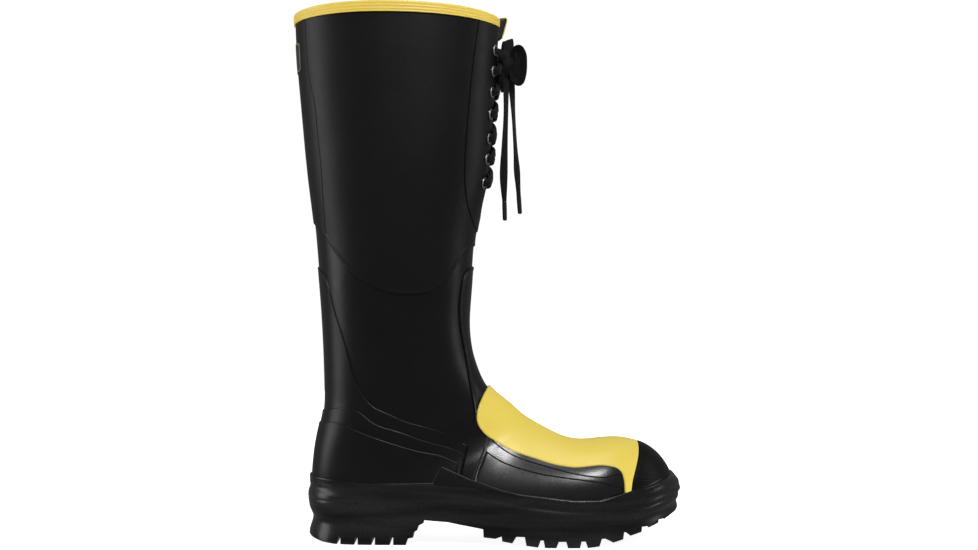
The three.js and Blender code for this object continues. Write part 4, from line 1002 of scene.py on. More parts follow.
def build_heel_overlays():
    """The ankle guard with a bead along its front end, the heel counter, heel cup and shank patches."""
    ankle_end = [[-13.2, 108], [-14.2, 94], [-17.6, 80], [-20, 70], [-24, 52], [-24, 0]]
    ankle = polygon([[-260, 232]], smooth_line(ANKLE_LINE), ankle_end[2:], [[-260, 0]])
    behind = SideField(polygon([[-260, 232], [-13.2, 232]], smooth_line(ankle_end), [[-260, 0]])).on(BOOT)[0]
    height = TOP["overlay1"] + bead(behind, 2.4, 0.9, 1.4) * over_foxing(BOOT)
    overlay("ankle_guard", ankle, height, -0.3, FOOT_RUBBER)
    counter_end = [[-20.4, 72.6], [-23.5, 62], [-27, 48], [-27, 0], [-260, 0]]
    counter = polygon([[-260, 107]], smooth_line(COUNTER_LINE), counter_end)
    overlay("heel_counter", counter, TOP["overlay2"], 0.8, FOOT_RUBBER)
    cup_end = [[-25.5, 65.2], [-27.5, 57], [-31, 44], [-31, 0], [-260, 0]]
    cup = polygon([[-260, 92]], smooth_line(HEEL_CUP_LINE), cup_end)
    overlay("heel_cup", cup, TOP["overlay3"], 1.6, FOOT_RUBBER)
    for side, name in ((-1, "shank_patch_lateral"), (1, "shank_patch_medial")):
        half = band_field(BOOT, side * BOOT.points[..., 1] - 2, (0, side, 0))
        overlay(name, SHANK_PATCH, TOP["shank_patch"], -0.3, FOOT_RUBBER, extra=(half,))


def build_leg_overlays():
    """The backstay with its blank label, and the shin strip that thins out under the vamp."""
    lower_end = [[-137, 254.6], [-148, 266.5], [-260, 316]]
    backstay = polygon([[-260, 440]], smooth_line(BACKSTAY_EDGE), lower_end)
    overlay("backstay", backstay, TOP["backstay"], 0.3, LEG_RUBBER, extra=(below_binding(BOOT),))
    overlay("back_patch", BACK_PATCH, TOP["back_patch"], 1.1, LABEL, edge=0.5)
    shin = polygon(smooth_line(SHIN_STRIP), [[20, 46]])
    behind = SideField(polygon(smooth_line(SHIN_STRIP), [[300, 46], [300, 400]])).on(BOOT)[0]
    above_vamp = np.clip((BOOT.points[..., 2] - 88) / 14, 0, 1)
    height = 0.55 + (TOP["overlay1"] - 0.55 + bead(behind, 2.2, 1.0, 0.8)) * above_vamp
    overlay("shin_strip", shin, height, -0.3, FOOT_RUBBER)


def build_vamp_overlays():
    """Two stepped layers over the forefoot and the yellow instep cover over them."""
    hidden_top = [[-6, 94], [-11.5, 98], [-12.5, 108], [-5, 116], [60, 130], [118, 130]]
    lower_line = smooth_line(VAMP_LOWER_LINE)[::-1]
    lower = polygon([[118, 20], [112, 46]], lower_line, VAMP_REAR[3:], hidden_top)
    overlay("vamp_overlay_lower", lower, TOP["vamp_lower"], 0.6, VAMP_RUBBER, edge=1.2)
    upper_top = [[-3, 91], [-8, 99], [-8, 112], [60, 130], [117, 130]]
    upper = polygon([[117, 56], [105, 57.5]], smooth_line(VAMP_UPPER_LINE)[::-1], upper_top)
    overlay("vamp_overlay_upper", upper, TOP["vamp_upper"], 1.4, VAMP_RUBBER, edge=1.2)
    cover = polygon(
        [[60, 190], [0.3, 150]], smooth_line(COVER_REAR), smooth_line(COVER_LOWER), [[110.5, 0], [115.7, 0]],
        smooth_line(COVER_FRONT), [[160, 190]],
    )
    overlay("instep_cover", cover, TOP["cover"], 1.6, YELLOW, "yellow_rubber", edge=1.3)


TOE_RIB = {"pitch": 1.8, "height": 0.11, "pole": (112.0, 5.0, 30.0), "radius": 47.0}


def toe_ribs(grid):
    """Fine ribs that run level round the toe, a small height added to the cap."""
    x, y, z = grid.points[..., 0], grid.points[..., 1], grid.points[..., 2]
    px, py, pz = TOE_RIB["pole"]
    reach = np.hypot(np.maximum(x - px, 0), y - py)
    level = TOE_RIB["radius"] * np.arctan2(z - pz, reach)
    return TOE_RIB["height"] * np.cos(level * 2 * math.pi / TOE_RIB["pitch"])


def build_toe_cap():
    """The ribbed rubber cap over the toe; its ribs fade out towards its edge."""
    outline = polygon([[116.2, 0]], smooth_line(TOE_COVER_REAR), [[135, 130], [260, 130], [260, 0]])
    field = nearest_edge(SideField(outline).on(TOE), above_foxing(TOE))
    fade = np.clip((field[0] - 1.5) / 1.5, 0, 1)
    height = TOP["toe"] + toe_ribs(TOE) * fade
    lay_piece("toe_cap_cover", TOE, field, height, 1.6, TOE_RUBBER, "ribbed_rubber", 1.1)


def build_facings():
    """The reinforced strips either side of the slit that carry the eyelets."""
    outline = SideField(polygon([[60, 436]], smooth_line(FACING_REAR), [[60, 257.5]]))
    holes = holes_field(BOOT, SEATS, EYELET["clearance"])
    for side, name in ((-1, "facing_lateral"), (1, "facing_medial")):
        half = band_field(BOOT, side * BOOT.points[..., 1] - 0.15, (0, side, 0))
        field = nearest_edge(outline.on(BOOT), half, slit_field(BOOT, 0.2), holes, below_binding(BOOT))
        lay_piece(name, BOOT, field, TOP["facing"], 0.3, LEG_RUBBER, "black_rubber", 0.6)


def build_lining():
    """The knitted lining with its wide front opening, and the folded gusset behind the slit."""
    y, z = BOOT.points[..., 1], BOOT.points[..., 2]
    front = BOOT.points[..., 0] > -60
    sideways = np.where(front, np.abs(y) - LINING_THROAT["half"], 50.0)
    outside = band_field(BOOT, sideways, (0, 1, 0))
    under = band_field(BOOT, np.where(front, LINING_THROAT["bottom_z"] - z, 50.0), (0, 0, -1))
    value = np.maximum(outside[0], under[0])
    out = np.where((outside[0] > under[0])[..., None], outside[1] * np.sign(y)[..., None], under[1])
    lay_piece("lining", BOOT, (value, out), TOP["lining"], -7.4, KNIT, "lining_cloth", 0.5, flip=True)
    inside = band_field(BOOT, np.where(front, GUSSET["half"] - np.abs(y), -9.0), (0, 0, 1))
    low = band_field(BOOT, z - GUSSET["bottom_z"], (0, 0, 1))
    high = band_field(BOOT, GUSSET["top_z"] - z, (0, 0, -1))
    folds = 0.9 * np.cos(y / 4.4) + 0.4 * np.sin(z / 17 + y / 6)
    window = nearest_edge(inside, low, high)
    lay_piece("gusset", BOOT, window, TOP["gusset"] + folds * 0.7, -10.5, COATED, "coated_cloth", 0.4)


# ---------------------------------------------------------------- sole
def sole_outline(step):
    """The sole's plan outline and the direction inward at each of its points."""
    ring = smooth_line(SOLE_OUTLINE, step, closed=True)
    return ring, inward_of(ring)


# How far in the foxing leans, from its ridge (0) to its top edge (1):
# along the sides, round the back of the heel and at the toe.
FOXING_SHAPES = {
    "side": [[0, 0], [0.1, 0.03], [0.2, 0.11], [0.35, 0.3], [0.5, 0.52], [0.65, 0.72], [0.82, 0.89], [1, 1]],
    "back": [
        [0, 0], [0.1, 0.06], [0.2, 0.26], [0.32, 0.66], [0.45, 1.04],
        [0.6, 1.3], [0.72, 1.28], [0.86, 1.08], [1, 1],
    ],
    "toe": [[0, 0], [0.2, 0.03], [0.45, 0.18], [0.7, 0.5], [0.88, 0.8], [1, 1]],
}
# Its rounded top edge: how far in from the edge, and how far under its highest point.
FOXING_ROUND = [(0.12, -0.9), (0.45, -0.4), (1.0, -0.1), (1.7, 0.0), (2.6, -0.05), (4.2, -0.9), (6.0, -3.0)]


def gap_inside(ring, inward, heights):
    """How far inside the sole's outline the upper lies at given heights, evened out along it."""
    hits = []
    for (x, y), (ix, iy), z in zip(ring, inward, heights):
        hit = SURFACE.ray_cast(Vector((x - 12 * ix, y - 12 * iy, z)), Vector((ix, iy, 0)))[0]
        hits.append((hit.x - x) * ix + (hit.y - y) * iy)
    gap = np.array(hits)
    for _ in range(6):
        gap = (np.roll(gap, 1) + 2 * gap + np.roll(gap, -1)) / 4
    return gap


def foxing_grid():
    """The rubber strip round the sole, ridge to top edge, with its rounded top laid against the upper."""
    ring, inward = sole_outline(1.3)
    ridge = height_at(RIDGE, ring[:, 0])
    top = height_at(FOXING_TOP, ring[:, 0])
    thickness = height_at(FOXING_THICKNESS, ring[:, 0])
    inset_top = np.maximum(gap_inside(ring, inward, top) - thickness, -4.0)
    toe = np.clip((ring[:, 0] - 100) / 45, 0, 1)
    back = np.clip((-110 - ring[:, 0]) / 36, 0, 1)
    rows = []
    for inset, rise in [(0.5, -1.2), (0.2, -0.9), (0.05, -0.3)]:
        rows.append(np.column_stack([ring + inward * inset, ridge + rise + 0.5]))
    for share in np.linspace(0.04, 1, 26):
        lean = {part: height_at(shape, share) for part, shape in FOXING_SHAPES.items()}
        height = ridge + 0.6 + (top - 1.5 - ridge - 0.6) * share
        bulge = inset_top * (lean["side"] * (1 - toe - back) + lean["toe"] * toe + lean["back"] * back)
        bulge += 0.28 * np.sin(4 * math.pi * share + ring[:, 0] * 0.03) * math.sin(math.pi * share)
        if share > 0.3:
            bulge = np.minimum(bulge, gap_inside(ring, inward, height) - 1.6)
        rows.append(np.column_stack([ring + inward * bulge[:, None], height]))
    for inset, drop in FOXING_ROUND:
        rows.append(np.column_stack([ring + inward * (inset_top + inset)[:, None], top + drop]))
    points = np.stack(rows[::-1])
    return Grid(points, grid_normals(points))


def build_foxing():
    """The foxing and the bumper over it at the toe."""
    grid = foxing_grid()
    quads = grid_quads(*grid.points.shape[:2]).tolist()
    points, normals = grid.points.reshape(-1, 3), grid.normals.reshape(-1, 3)
    stand_in("foxing", points, quads, SOLE_RUBBER, "sole_rubber", normals=normals)
    build_bumper(grid)


def build_bumper(grid):
    """The thicker strip over the foxing at the toe."""
    slope = smooth_line([[118, 43], [130, 49.5], [150, 61.5], [156, 66]])
    rear = polygon([[118, 0], [118, 43]], slope, [[260, 90], [260, 0]])
    x, z = grid.points[..., 0], grid.points[..., 2]
    under_top = band_field(grid, height_at(FOXING_TOP, x) - 2.6 - z, (0, 0, -1))
    over_ridge = band_field(grid, z - height_at(RIDGE, x) - 1.2, (0, 0, 1))
    along = np.clip((x - 119) / 26, 0, 1)
    height = 0.1 + 1.4 * along * along * (3 - 2 * along)
    field = nearest_edge(SideField(rear).on(grid), under_top, over_ridge)
    lay_piece("toe_bumper", grid, field, height, -0.5, SOLE_RUBBER, "sole_rubber", 1.4)


def solid_object(name, vertices, faces):
    """A closed object with its normals outward, ready for booleans."""
    mesh = bpy.data.meshes.new(name)
    mesh.from_pydata(to_frame(vertices).tolist(), [], faces)
    edit = bmesh.new()
    edit.from_mesh(mesh)
    bmesh.ops.recalc_face_normals(edit, faces=edit.faces)
    bmesh.ops.triangulate(edit, faces=[f for f in edit.faces if len(f.verts) > 4])
    edit.to_mesh(mesh)
    edit.free()
    obj = bpy.data.objects.new(name, mesh)
    bpy.context.collection.objects.link(obj)
    return obj


def stacked(levels):
    """A closed solid from rings of equal length, flat at both ends."""
    return np.vstack(levels), capped_faces(len(levels), len(levels[0]))


def prism(outline, low=-90.0, high=90.0):
    """A solid across the boot from an [x, z] outline."""
    x, z = np.asarray(outline, float).T
    return stacked([np.column_stack([x, np.full(len(x), y), z]) for y in (low, high)])


def cut_with(target, operation, *solids):
    """Applies booleans one after another and removes the cutters."""
    for vertices, faces in solids:
        cutter = solid_object("cutter", vertices, faces)
        modifier = target.modifiers.new("cut", "BOOLEAN")
        modifier.operation = operation
        modifier.solver = "EXACT"
        modifier.object = cutter
        graph = bpy.context.evaluated_depsgraph_get()
        result = bpy.data.meshes.new_from_object(target.evaluated_get(graph))
        target.modifiers.clear()
        old = target.data
        target.data = result
        bpy.data.meshes.remove(old)
        spare = cutter.data
        bpy.data.objects.remove(cutter)
        bpy.data.meshes.remove(spare)


def sole_block():
    """The outsole's sides as a stack of outlines: lugs, a waisted middle and the bulge up to the ridge."""
    ring, inward = sole_outline(2.2)
    x = ring[:, 0]
    face, ridge = height_at(LUG_FACE, x), height_at(RIDGE, x)
    waist = np.interp(x, [-75, -45], [4.4, 2.0])
    mid = face * 0.5 + ridge * 0.5 - 1

    def level(inset, height):
        moved = ring + inward * np.broadcast_to(inset, x.shape)[:, None]
        return np.column_stack([moved, np.broadcast_to(height, x.shape)])

    levels = [level(1.2, -30.0)]
    for share in np.linspace(0, 1, 7):
        bow = 1.2 + (waist - 1.2) * (1 - math.cos(share * math.pi)) / 2
        levels.append(level(bow, face + (mid - face) * share))
    for share in np.linspace(0.15, 1, 7):
        bow = 0.15 + (waist - 0.15) * (1 - share) ** 1.6 + 0.18 * math.sin(share * 3 * math.pi)
        levels.append(level(bow, mid + (ridge - 2.0 - mid) * share))
    return stacked(levels + [level(0.45, ridge - 1.0), level(0.3, 60.0)])


def build_outsole():
    """The outsole block with the waist, cross channels, heel grooves and centre groove cut out of it."""
    sole = solid_object("outsole_look", *sole_block())
    band = polygon(LUG_FACE, np.asarray(RIDGE, float)[::-1] + [0, 0.4])
    cut_with(sole, "INTERSECT", prism(band))
    cuts = [prism(polygon(WAIST_CUT, [[-4.4, -20], [-68.5, -20]]))]
    for x0, z0, left, right, root, x1, z1 in CHANNELS:
        cuts.append(prism([[x0 - 1, -20], [x0, z0], [left, root], [right, root], [x1, z1], [x1 + 1, -20]]))
    half, depth = HEEL_GROOVES["width"] / 2, HEEL_GROOVES["depth"]
    for x in HEEL_GROOVES["xs"]:
        left, right = x - half, x + half
        cuts.append(prism([[left - 0.6, -20], [left, depth], [right, depth], [right + 0.6, -20]]))
    groove = [[x, z + CENTRE_GROOVE["depth"]] for x, z in LUG_FACE if -5 < x < 150]
    y, half = CENTRE_GROOVE["y"], CENTRE_GROOVE["half"]
    cuts.append(prism(polygon(groove, [[146, -20], [-4, -20]]), y - half, y + half))
    cut_with(sole, "DIFFERENCE", *cuts)
    sole.data.polygons.foreach_set("use_smooth", [True] * len(sole.data.polygons))
    sole.data.set_sharp_from_angle(angle=math.radians(28))
    sole.data.materials.append(lug_material())
    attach(sole, "root")
    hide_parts("outsole")


def lug_material():
    """The sole's rubber with its cut edges softened by a bevel node."""
    material = sole_rubber("lug_rubber_look")
    tree = material.node_tree
    bevel = tree.nodes.new("ShaderNodeBevel")
    bevel.samples = 4
    bevel.inputs["Radius"].default_value = 0.0007
    first = [node for node in tree.nodes if node.type == "BUMP" and not node.inputs["Normal"].is_linked][0]
    tree.links.new(bevel.outputs["Normal"], first.inputs["Normal"])
    return material


def build_insole():
    """The soft insole: a rounded edge and a slightly dished top that closes on a line down its middle."""
    ring, inward = sole_outline(3.0)
    x = ring[:, 0]
    rows = []
    edge = [
        (11.5, 8.6), (10.8, 9.4), (10.6, 11.0), (11.0, 12.3),
        (12.2, 12.9), (16, 13.0), (24, 12.7), (32, 12.5),
    ]
    for inset, rise in edge:
        moved = ring + inward * inset
        rows.append(np.column_stack([moved, height_at(FEATHER, moved[:, 0]) + rise]))
    spine = np.column_stack([np.clip(x, -112, 118), np.interp(x, [-112, 0, 118], [0, -3, 3])])
    rows.append(np.column_stack([spine, height_at(FEATHER, spine[:, 0]) + 12.4]))
    points = np.stack(rows)
    quads = grid_quads(*points.shape[:2]).tolist()
    obj = stand_in("insole", points.reshape(-1, 3), quads, INSOLE_CLOTH, "insole_cloth")


# ---------------------------------------------------------------- swept strips, laces and trim
def resample(points, step, *tables):
    """A smooth evenly spaced line through 3-D points, with other per-point tables carried along it."""
    knots = np.asarray(points, float)
    rows = [knots] + [np.asarray(t, float).reshape(len(knots), -1) for t in tables]
    widths = [r.shape[1] for r in rows]
    u = knot_places(knots)
    dense = catmull(u, np.hstack(rows), np.linspace(0, u[-1], 60 * len(knots)))
    travel = travel_along(dense[:, :3])
    wanted = np.linspace(0, travel[-1], max(4, int(round(travel[-1] / step)) + 1))
    return np.split(read_rows(wanted, travel, dense), np.cumsum(widths)[:-1], axis=1), wanted


def catmull(u, rows, at):
    """Centripetal Catmull-Rom through rows at knots u."""
    gap = np.diff(u)[:, None]
    steep = np.diff(rows, axis=0) / gap
    inner = (steep[1:] * gap[:-1] + steep[:-1] * gap[1:]) / (gap[:-1] + gap[1:])
    slope = np.vstack([steep[:1], inner, steep[-1:]])
    i = np.clip(np.searchsorted(u, at, side="right") - 1, 0, len(u) - 2)
    h = gap[i]
    t = (at - u[i])[:, None] / h
    return ((2 * t**3 - 3 * t**2 + 1) * rows[i] + (t**3 - 2 * t**2 + t) * h * slope[i]
            + (-2 * t**3 + 3 * t**2) * rows[i + 1] + (t**3 - t**2) * h * slope[i + 1])


SECTION_POINTS = 28
LACE_GIRTH = 0.016  # metres round a lace, for the weave


def lace_section():
    """Unit cross-section of a flat lace: (across, up) with five soft ribs on each face."""
    turn = np.linspace(0, 2 * math.pi, SECTION_POINTS, endpoint=False)
    across = np.sign(np.cos(turn)) * np.abs(np.cos(turn)) ** 0.85
    up = np.sign(np.sin(turn)) * np.abs(np.sin(turn)) ** 0.55
    ribs = 1 + 0.20 * np.cos(across * 5 * math.pi)
    return across, up * ribs


def ribbon(name, points, sides, widths, thicks, material=LACE, slot="black_lace", step=0.7, closed=False):
    """A flat lace along a line; sides gives the direction of its width at each point."""
    (line, side, width, thick), travel = resample(points, step, sides, widths, thicks)
    tangent = unit(np.gradient(line, axis=0))
    if closed:
        tangent[0] = tangent[-1] = unit(tangent[0] + tangent[-1])
    side = unit(side - (side * tangent).sum(-1, keepdims=True) * tangent)
    up = unit(np.cross(tangent, side))
    across, lift = lace_section()
    rings = (
        line[:, None, :]
        + side[:, None, :] * (across[None, :] * width / 2)[..., None]
        + up[:, None, :] * (lift[None, :] * thick / 2)[..., None]
    )
    around = np.arange(SECTION_POINTS) / SECTION_POINTS * LACE_GIRTH
    uvs = np.stack(np.broadcast_arrays(travel[:, None] * 0.001, around[None, :]), axis=-1).reshape(-1, 2)
    faces = capped_faces(len(line), SECTION_POINTS)
    obj = make_mesh(name, rings.reshape(-1, 3), faces, material, slot, uvs=uvs)
    return obj, line, travel[-1]


# How far over and under the boot's surface the lace crosses the throat.
LACE_OVER, LACE_UNDER = 4.5, -4.6


def in_eyelet(side, k, height=0.0):
    """A point on the axis of eyelet k, counted from the top; side is -1 outer or 1 inner."""
    position, normal = SEATS[k if side < 0 else k + len(EYELET_Z)]
    return position + normal * height


def lace_strand(side, low, high, lift):
    """The lace out of one eyelet, over the facing, across the throat and up into one on the other side."""
    start, end = in_eyelet(side, low), in_eyelet(-side, high)
    normal = front_point(0, (start[2] + end[2]) / 2)[1]
    wide = unit(np.cross(normal, unit(end - start)))

    def at(share, height):
        _, y, z = start + (end - start) * share
        return front_point(y, z, height)[0]

    edge = (1 - (SLIT["half"] + 1.2) / EYELET["y"]) / 2
    spots = [
        (in_eyelet(side, low, 2.2), 5.2, 3.4),
        (at(0.05, LACE_OVER), 6.6, 3.2),
        (at(edge, LACE_OVER), 7.4, 3.2),
        (at(0.5, lift + 0.6), 7.4, 2.9),
        (at(1 - edge, LACE_UNDER), 6.6, 1.8),
        (at(0.95, LACE_UNDER), 5.4, 2.0),
        (in_eyelet(-side, high, -3.4), 4.4, 2.2),
        (in_eyelet(-side, high), 4.2, 2.4),
    ]
    return [(point, wide, width, thick) for point, width, thick in spots]


def lace_half(side, lift):
    """The lace from one lowest eyelet up to the knot, changing sides at each strand."""
    rows = []
    for low in range(len(EYELET_Z) - 1, 0, -1):
        rows += lace_strand(side, low, low - 1, lift)
        side = -side
    y, z = side * EYELET["y"], EYELET_Z[0]
    leaning = np.array([0.3, 0, 1.0])
    return rows + [
        (in_eyelet(side, 0, 2.8), rows[-1][1], 4.6, 2.4),
        (front_point(y * 0.86, z - 1, LACE_OVER + 0.4)[0], np.array([0.2, 0, 1.0]), 5.8, 2.2),
        (front_point(y * 0.6, z - 3.5, LACE_OVER + 1.6)[0], leaning, 6.4, 2.0),
        (np.array([KNOT["x"] - 3.2, side * 7.5, KNOT["z"] + 1]), leaning, 6.0, 2.2),
        (np.array([KNOT["x"] - 1.5, side * 2.5, KNOT["z"]]), leaning, 5.4, 2.4),
    ]


def lacing_route():
    """Centre line, width direction, width and thickness of the lace, from the knot down and back to it."""
    bottom = len(EYELET_Z) - 1
    spots = [(in_eyelet(-1, bottom), 4.2, 2.4), (in_eyelet(-1, bottom, -3.4), 4.4, 2.2)]
    for share in (-0.9, -0.4, 0.4, 0.9):
        spots.append((front_point(share * EYELET["y"], EYELET_Z[bottom], LACE_UNDER)[0], 6.4, 1.8))
    spots += [(in_eyelet(1, bottom, -3.4), 4.4, 2.2), (in_eyelet(1, bottom), 4.2, 2.4)]
    bar = [(point, np.array([0, 0, 1.0]), width, thick) for point, width, thick in spots]
    aligned = []
    for point, wide, width, thick in lace_half(-1, -1.7)[::-1] + bar + lace_half(1, 1.7):
        if aligned and np.dot(aligned[-1][1], wide) < 0:
            wide = -wide
        aligned.append((point, wide, width, thick))
    return [np.array(column) for column in zip(*aligned)]


def build_lacing():
    """The lace through the eyelets, as one strip; prints its length."""
    points, sides, widths, thicks = lacing_route()
    obj, _, length = ribbon("lacing_look", points, sides, widths, thicks)
    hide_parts("lacing")
    print("lacing length mm", round(length, 1))


def build_eyelets():
    """Rolled metal eyelets: a rounded ring in front, a tube through the facing and a rolled back."""
    turns = 40
    profile = [
        (2.75, -3.6), (4.2, -3.6), (4.55, -3.35), (4.2, -3.0), (3.3, -2.9), (3.3, 1.9), (4.4, 1.9),
        (4.85, 2.15), (4.8, 2.5), (4.3, 2.85), (3.7, 2.95), (3.1, 2.7), (2.8, 2.2), (2.72, 1.4),
    ]
    angle = np.linspace(0, 2 * math.pi, turns, endpoint=False)[:, None]
    names = [f"eyelet_{label}_{k + 1}" for label in ("lateral", "medial") for k in range(len(EYELET_Z))]
    for name, (position, normal) in zip(names, SEATS):
        across = unit(np.cross(normal, [0, 0, 1.0]))
        spoke = np.cos(angle) * across + np.sin(angle) * np.cross(across, normal)
        rows = [position + spoke * r + normal * h for r, h in profile]
        rows.append(rows[0])
        quads = grid_quads(len(rows), turns).tolist()
        stand_in(name, np.vstack(rows), quads, EYELET_METAL, "eyelet_metal")


def build_knot():
    """The bow's knot: strands of lace wrapped round each other."""
    x, z = KNOT["x"], KNOT["z"]
    core_points = [[x - 1, -6, z], [x, -2, z + 1], [x, 2, z], [x - 1, 6, z - 1]]
    core = ribbon("lace_knot_look", core_points, [[0, 0, 1]] * 4, [13, 16, 16, 13], [11, 13, 13, 11])[0]
    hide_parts("lace_knot")
    # Each turn of lace: centre x, y, z, lace width, half its reach across and up, and its lean.
    wraps = [
        (11.6, 0.0, 399.5, 7.2, 8.2, 12.5, 0.08),
        (10.0, -1.2, 392.5, 6.8, 7.4, 11.5, 0.06),
        (18.6, -0.5, 398.5, 6.8, 8.0, 11.0, -0.16),
        (15.6, -1.0, 398.0, 6.4, 9.4, 8.6, 0.42),
    ]
    count = 15
    turn = np.linspace(0, 2 * math.pi, count)
    across, up = np.cos(turn), np.sin(turn)
    for i, (x, y, z, width, wide, tall, lean) in enumerate(wraps):
        points = np.column_stack([x + lean * tall * up, y + wide * across, z + tall * up])
        sides = [[1.0, 0.0, -lean]] * count
        ribbon(f"lace_knot_wrap_{i + 1}", points, sides, [width] * count, [2.0] * count, closed=True)
    points = np.column_stack([24.1 + 0.5 * up, -9.6 + 1.5 * across, 399 + 10.5 * up])
    ribbon("lace_knot_fold", points, [[1.0, 0, 0]] * count, [5.6] * count, [1.6] * count, closed=True)


def loop_sides(points, tilts):
    """Width directions of a bow loop: flat to the side view, turned about the lace by each tilt."""
    tangent = unit(np.gradient(np.asarray(points, float), axis=0))
    flat = unit(np.cross(tangent, [0, 1.0, 0]))
    across = np.cross(tangent, flat)
    turn = np.asarray(tilts, float)[:, None]
    return flat * np.cos(turn) + across * np.sin(turn)


def build_bow():
    """The bow's two loops, each a free cord that starts and ends in the knot."""
    tilts = [0.0, 0.2, 0.6, 0.8, 0.8, 0.75, 0.5, 0.1, 0.0, 0.0]
    flat = np.tile([1.0, 0.0, 0.4], (len(LOOP_MEDIAL), 1))
    loops = [
        ("lace_loop_lateral", LOOP_LATERAL, loop_sides(LOOP_LATERAL, tilts), 8.6),
        ("lace_loop_medial", LOOP_MEDIAL, flat, 9.2),
    ]
    for name, points, sides, width in loops:
        widths = [6.4] + [width] * (len(points) - 2) + [6.4]
        obj, line, length = ribbon(name + "_look", points, sides, widths, [1.8] * len(points))
        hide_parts(name)
        declare_cord(obj, line, length)


def declare_cord(obj, line, length):
    """Samples the line a free end of the lace was swept on into a path, which is not used further, and prints
    its length.
    """
    path = to_frame(line[:: max(1, len(line) // 60)])
    path[-1] = to_frame(line[-1:])[0]
    print(obj.name, "length mm", round(length, 1))


def tail_sides(degrees):
    """Width directions of a hanging end, turned about the vertical."""
    turn = np.radians(degrees)
    return np.column_stack([np.cos(turn), np.sin(turn), np.zeros(len(turn))])


def build_tails():
    """The lace's two hanging ends with their aglets."""
    tails = [
        ("lateral", TAIL_LATERAL, [20, 44, 60, 45, 18, 8]),
        ("medial", TAIL_MEDIAL, [20, 36, 66, 66, 42, 58]),
    ]
    for label, points, degrees in tails:
        end, before = np.array(points[-1], float), np.array(points[-2], float)
        along = unit(end - before)
        widths = [6.6, 7.2, 7.2, 7.2, 7.0, 3.6]
        thicks = [1.9, 1.6, 1.5, 1.5, 1.5, 2.8]
        sides = tail_sides(np.array(degrees, float))
        obj, line, length = ribbon(f"lace_tail_{label}_look", points, sides, widths, thicks)
        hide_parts(f"lace_tail_{label}")
        aglet = build_aglet(label, end - along * 0.3, along)
        declare_cord(obj, line, length)


def build_aglet(label, start, along):
    """A rolled plastic tip: a slightly flattened tube with crimped ends."""
    turns = 24
    side = unit(np.cross(along, [0, 1.0, 0]))
    other = np.cross(along, side)
    profile = [
        (0.0, 0.6), (0.0, 1.7), (0.5, 2.0), (1.2, 1.85), (2.0, 2.0),
        (14.4, 1.9), (15.4, 1.7), (15.9, 1.2), (16.0, 0.4),
    ]
    angle = np.linspace(0, 2 * math.pi, turns, endpoint=False)
    rows = []
    for reach, radius in profile:
        ring = np.cos(angle)[:, None] * side * radius + np.sin(angle)[:, None] * other * radius * 0.8
        rows.append(start + along * reach + ring)
    return stand_in(f"aglet_{label}", np.vstack(rows), capped_faces(len(rows), turns), AGLET, "aglet_plastic")


def binding_profile():
    """Outline of the rim tape, (outward, up from the rim): ribbed outside, rolled top, plain inside."""
    outer, inner, height = RIM_TAPE["outer"], RIM_TAPE["inner"], RIM_TAPE["height"]
    points = [(outer - 0.7, -height), (outer + 0.1, -height + 0.1)]
    for level in np.linspace(-height + 0.4, -0.6, 26):
        rib = RIM_TAPE["rib"] * math.cos((level + height) * 2 * math.pi / RIM_TAPE["rib_pitch"])
        points.append((outer + rib, level))
    middle, half = (outer + inner) / 2, (outer - inner) / 2
    for degrees in range(0, 181, 15):
        turn = math.radians(degrees)
        roll = math.copysign(half - 1.6, math.cos(turn)) if degrees != 90 else 0.0
        points.append((middle + roll + 1.6 * math.cos(turn), 1.6 * math.sin(turn)))
    points += [(inner, -2), (inner, -height + 0.4), (inner + 0.7, -height), (inner + 1.4, -height + 0.8)]
    points += [(inner + 1.4, 0.0), (0.3, 0.0), (0.3, -height + 0.6)]
    return points


def build_binding():
    """The yellow tape folded over the top edge, from one side of the throat round the back to the other."""
    rim, second = BOOT.points[0], BOOT.points[8]
    upward = unit(rim - second)
    outward = unit(BOOT.normals[0] - (BOOT.normals[0] * upward).sum(-1, keepdims=True) * upward)
    keep = np.where((np.abs(rim[:, 1]) > SLIT["half"] + 0.2) | (rim[:, 0] < -60))[0]
    edge = rim[keep] + upward[keep] * rim_rise(rim[keep, 1])[:, None]
    depth = rim_depth(rim[keep])[:, None]
    lines = []
    for out, rise in binding_profile():
        lines.append(edge + outward[keep] * out + upward[keep] * (rise * depth if rise < 0 else rise))
    rows = np.stack(lines, axis=1)
    obj = stand_in("top_binding", rows.reshape(-1, 3), capped_faces(*rows.shape[:2]), TAPE, "yellow_tape")
    obj.data.set_sharp_from_angle(angle=math.radians(50))


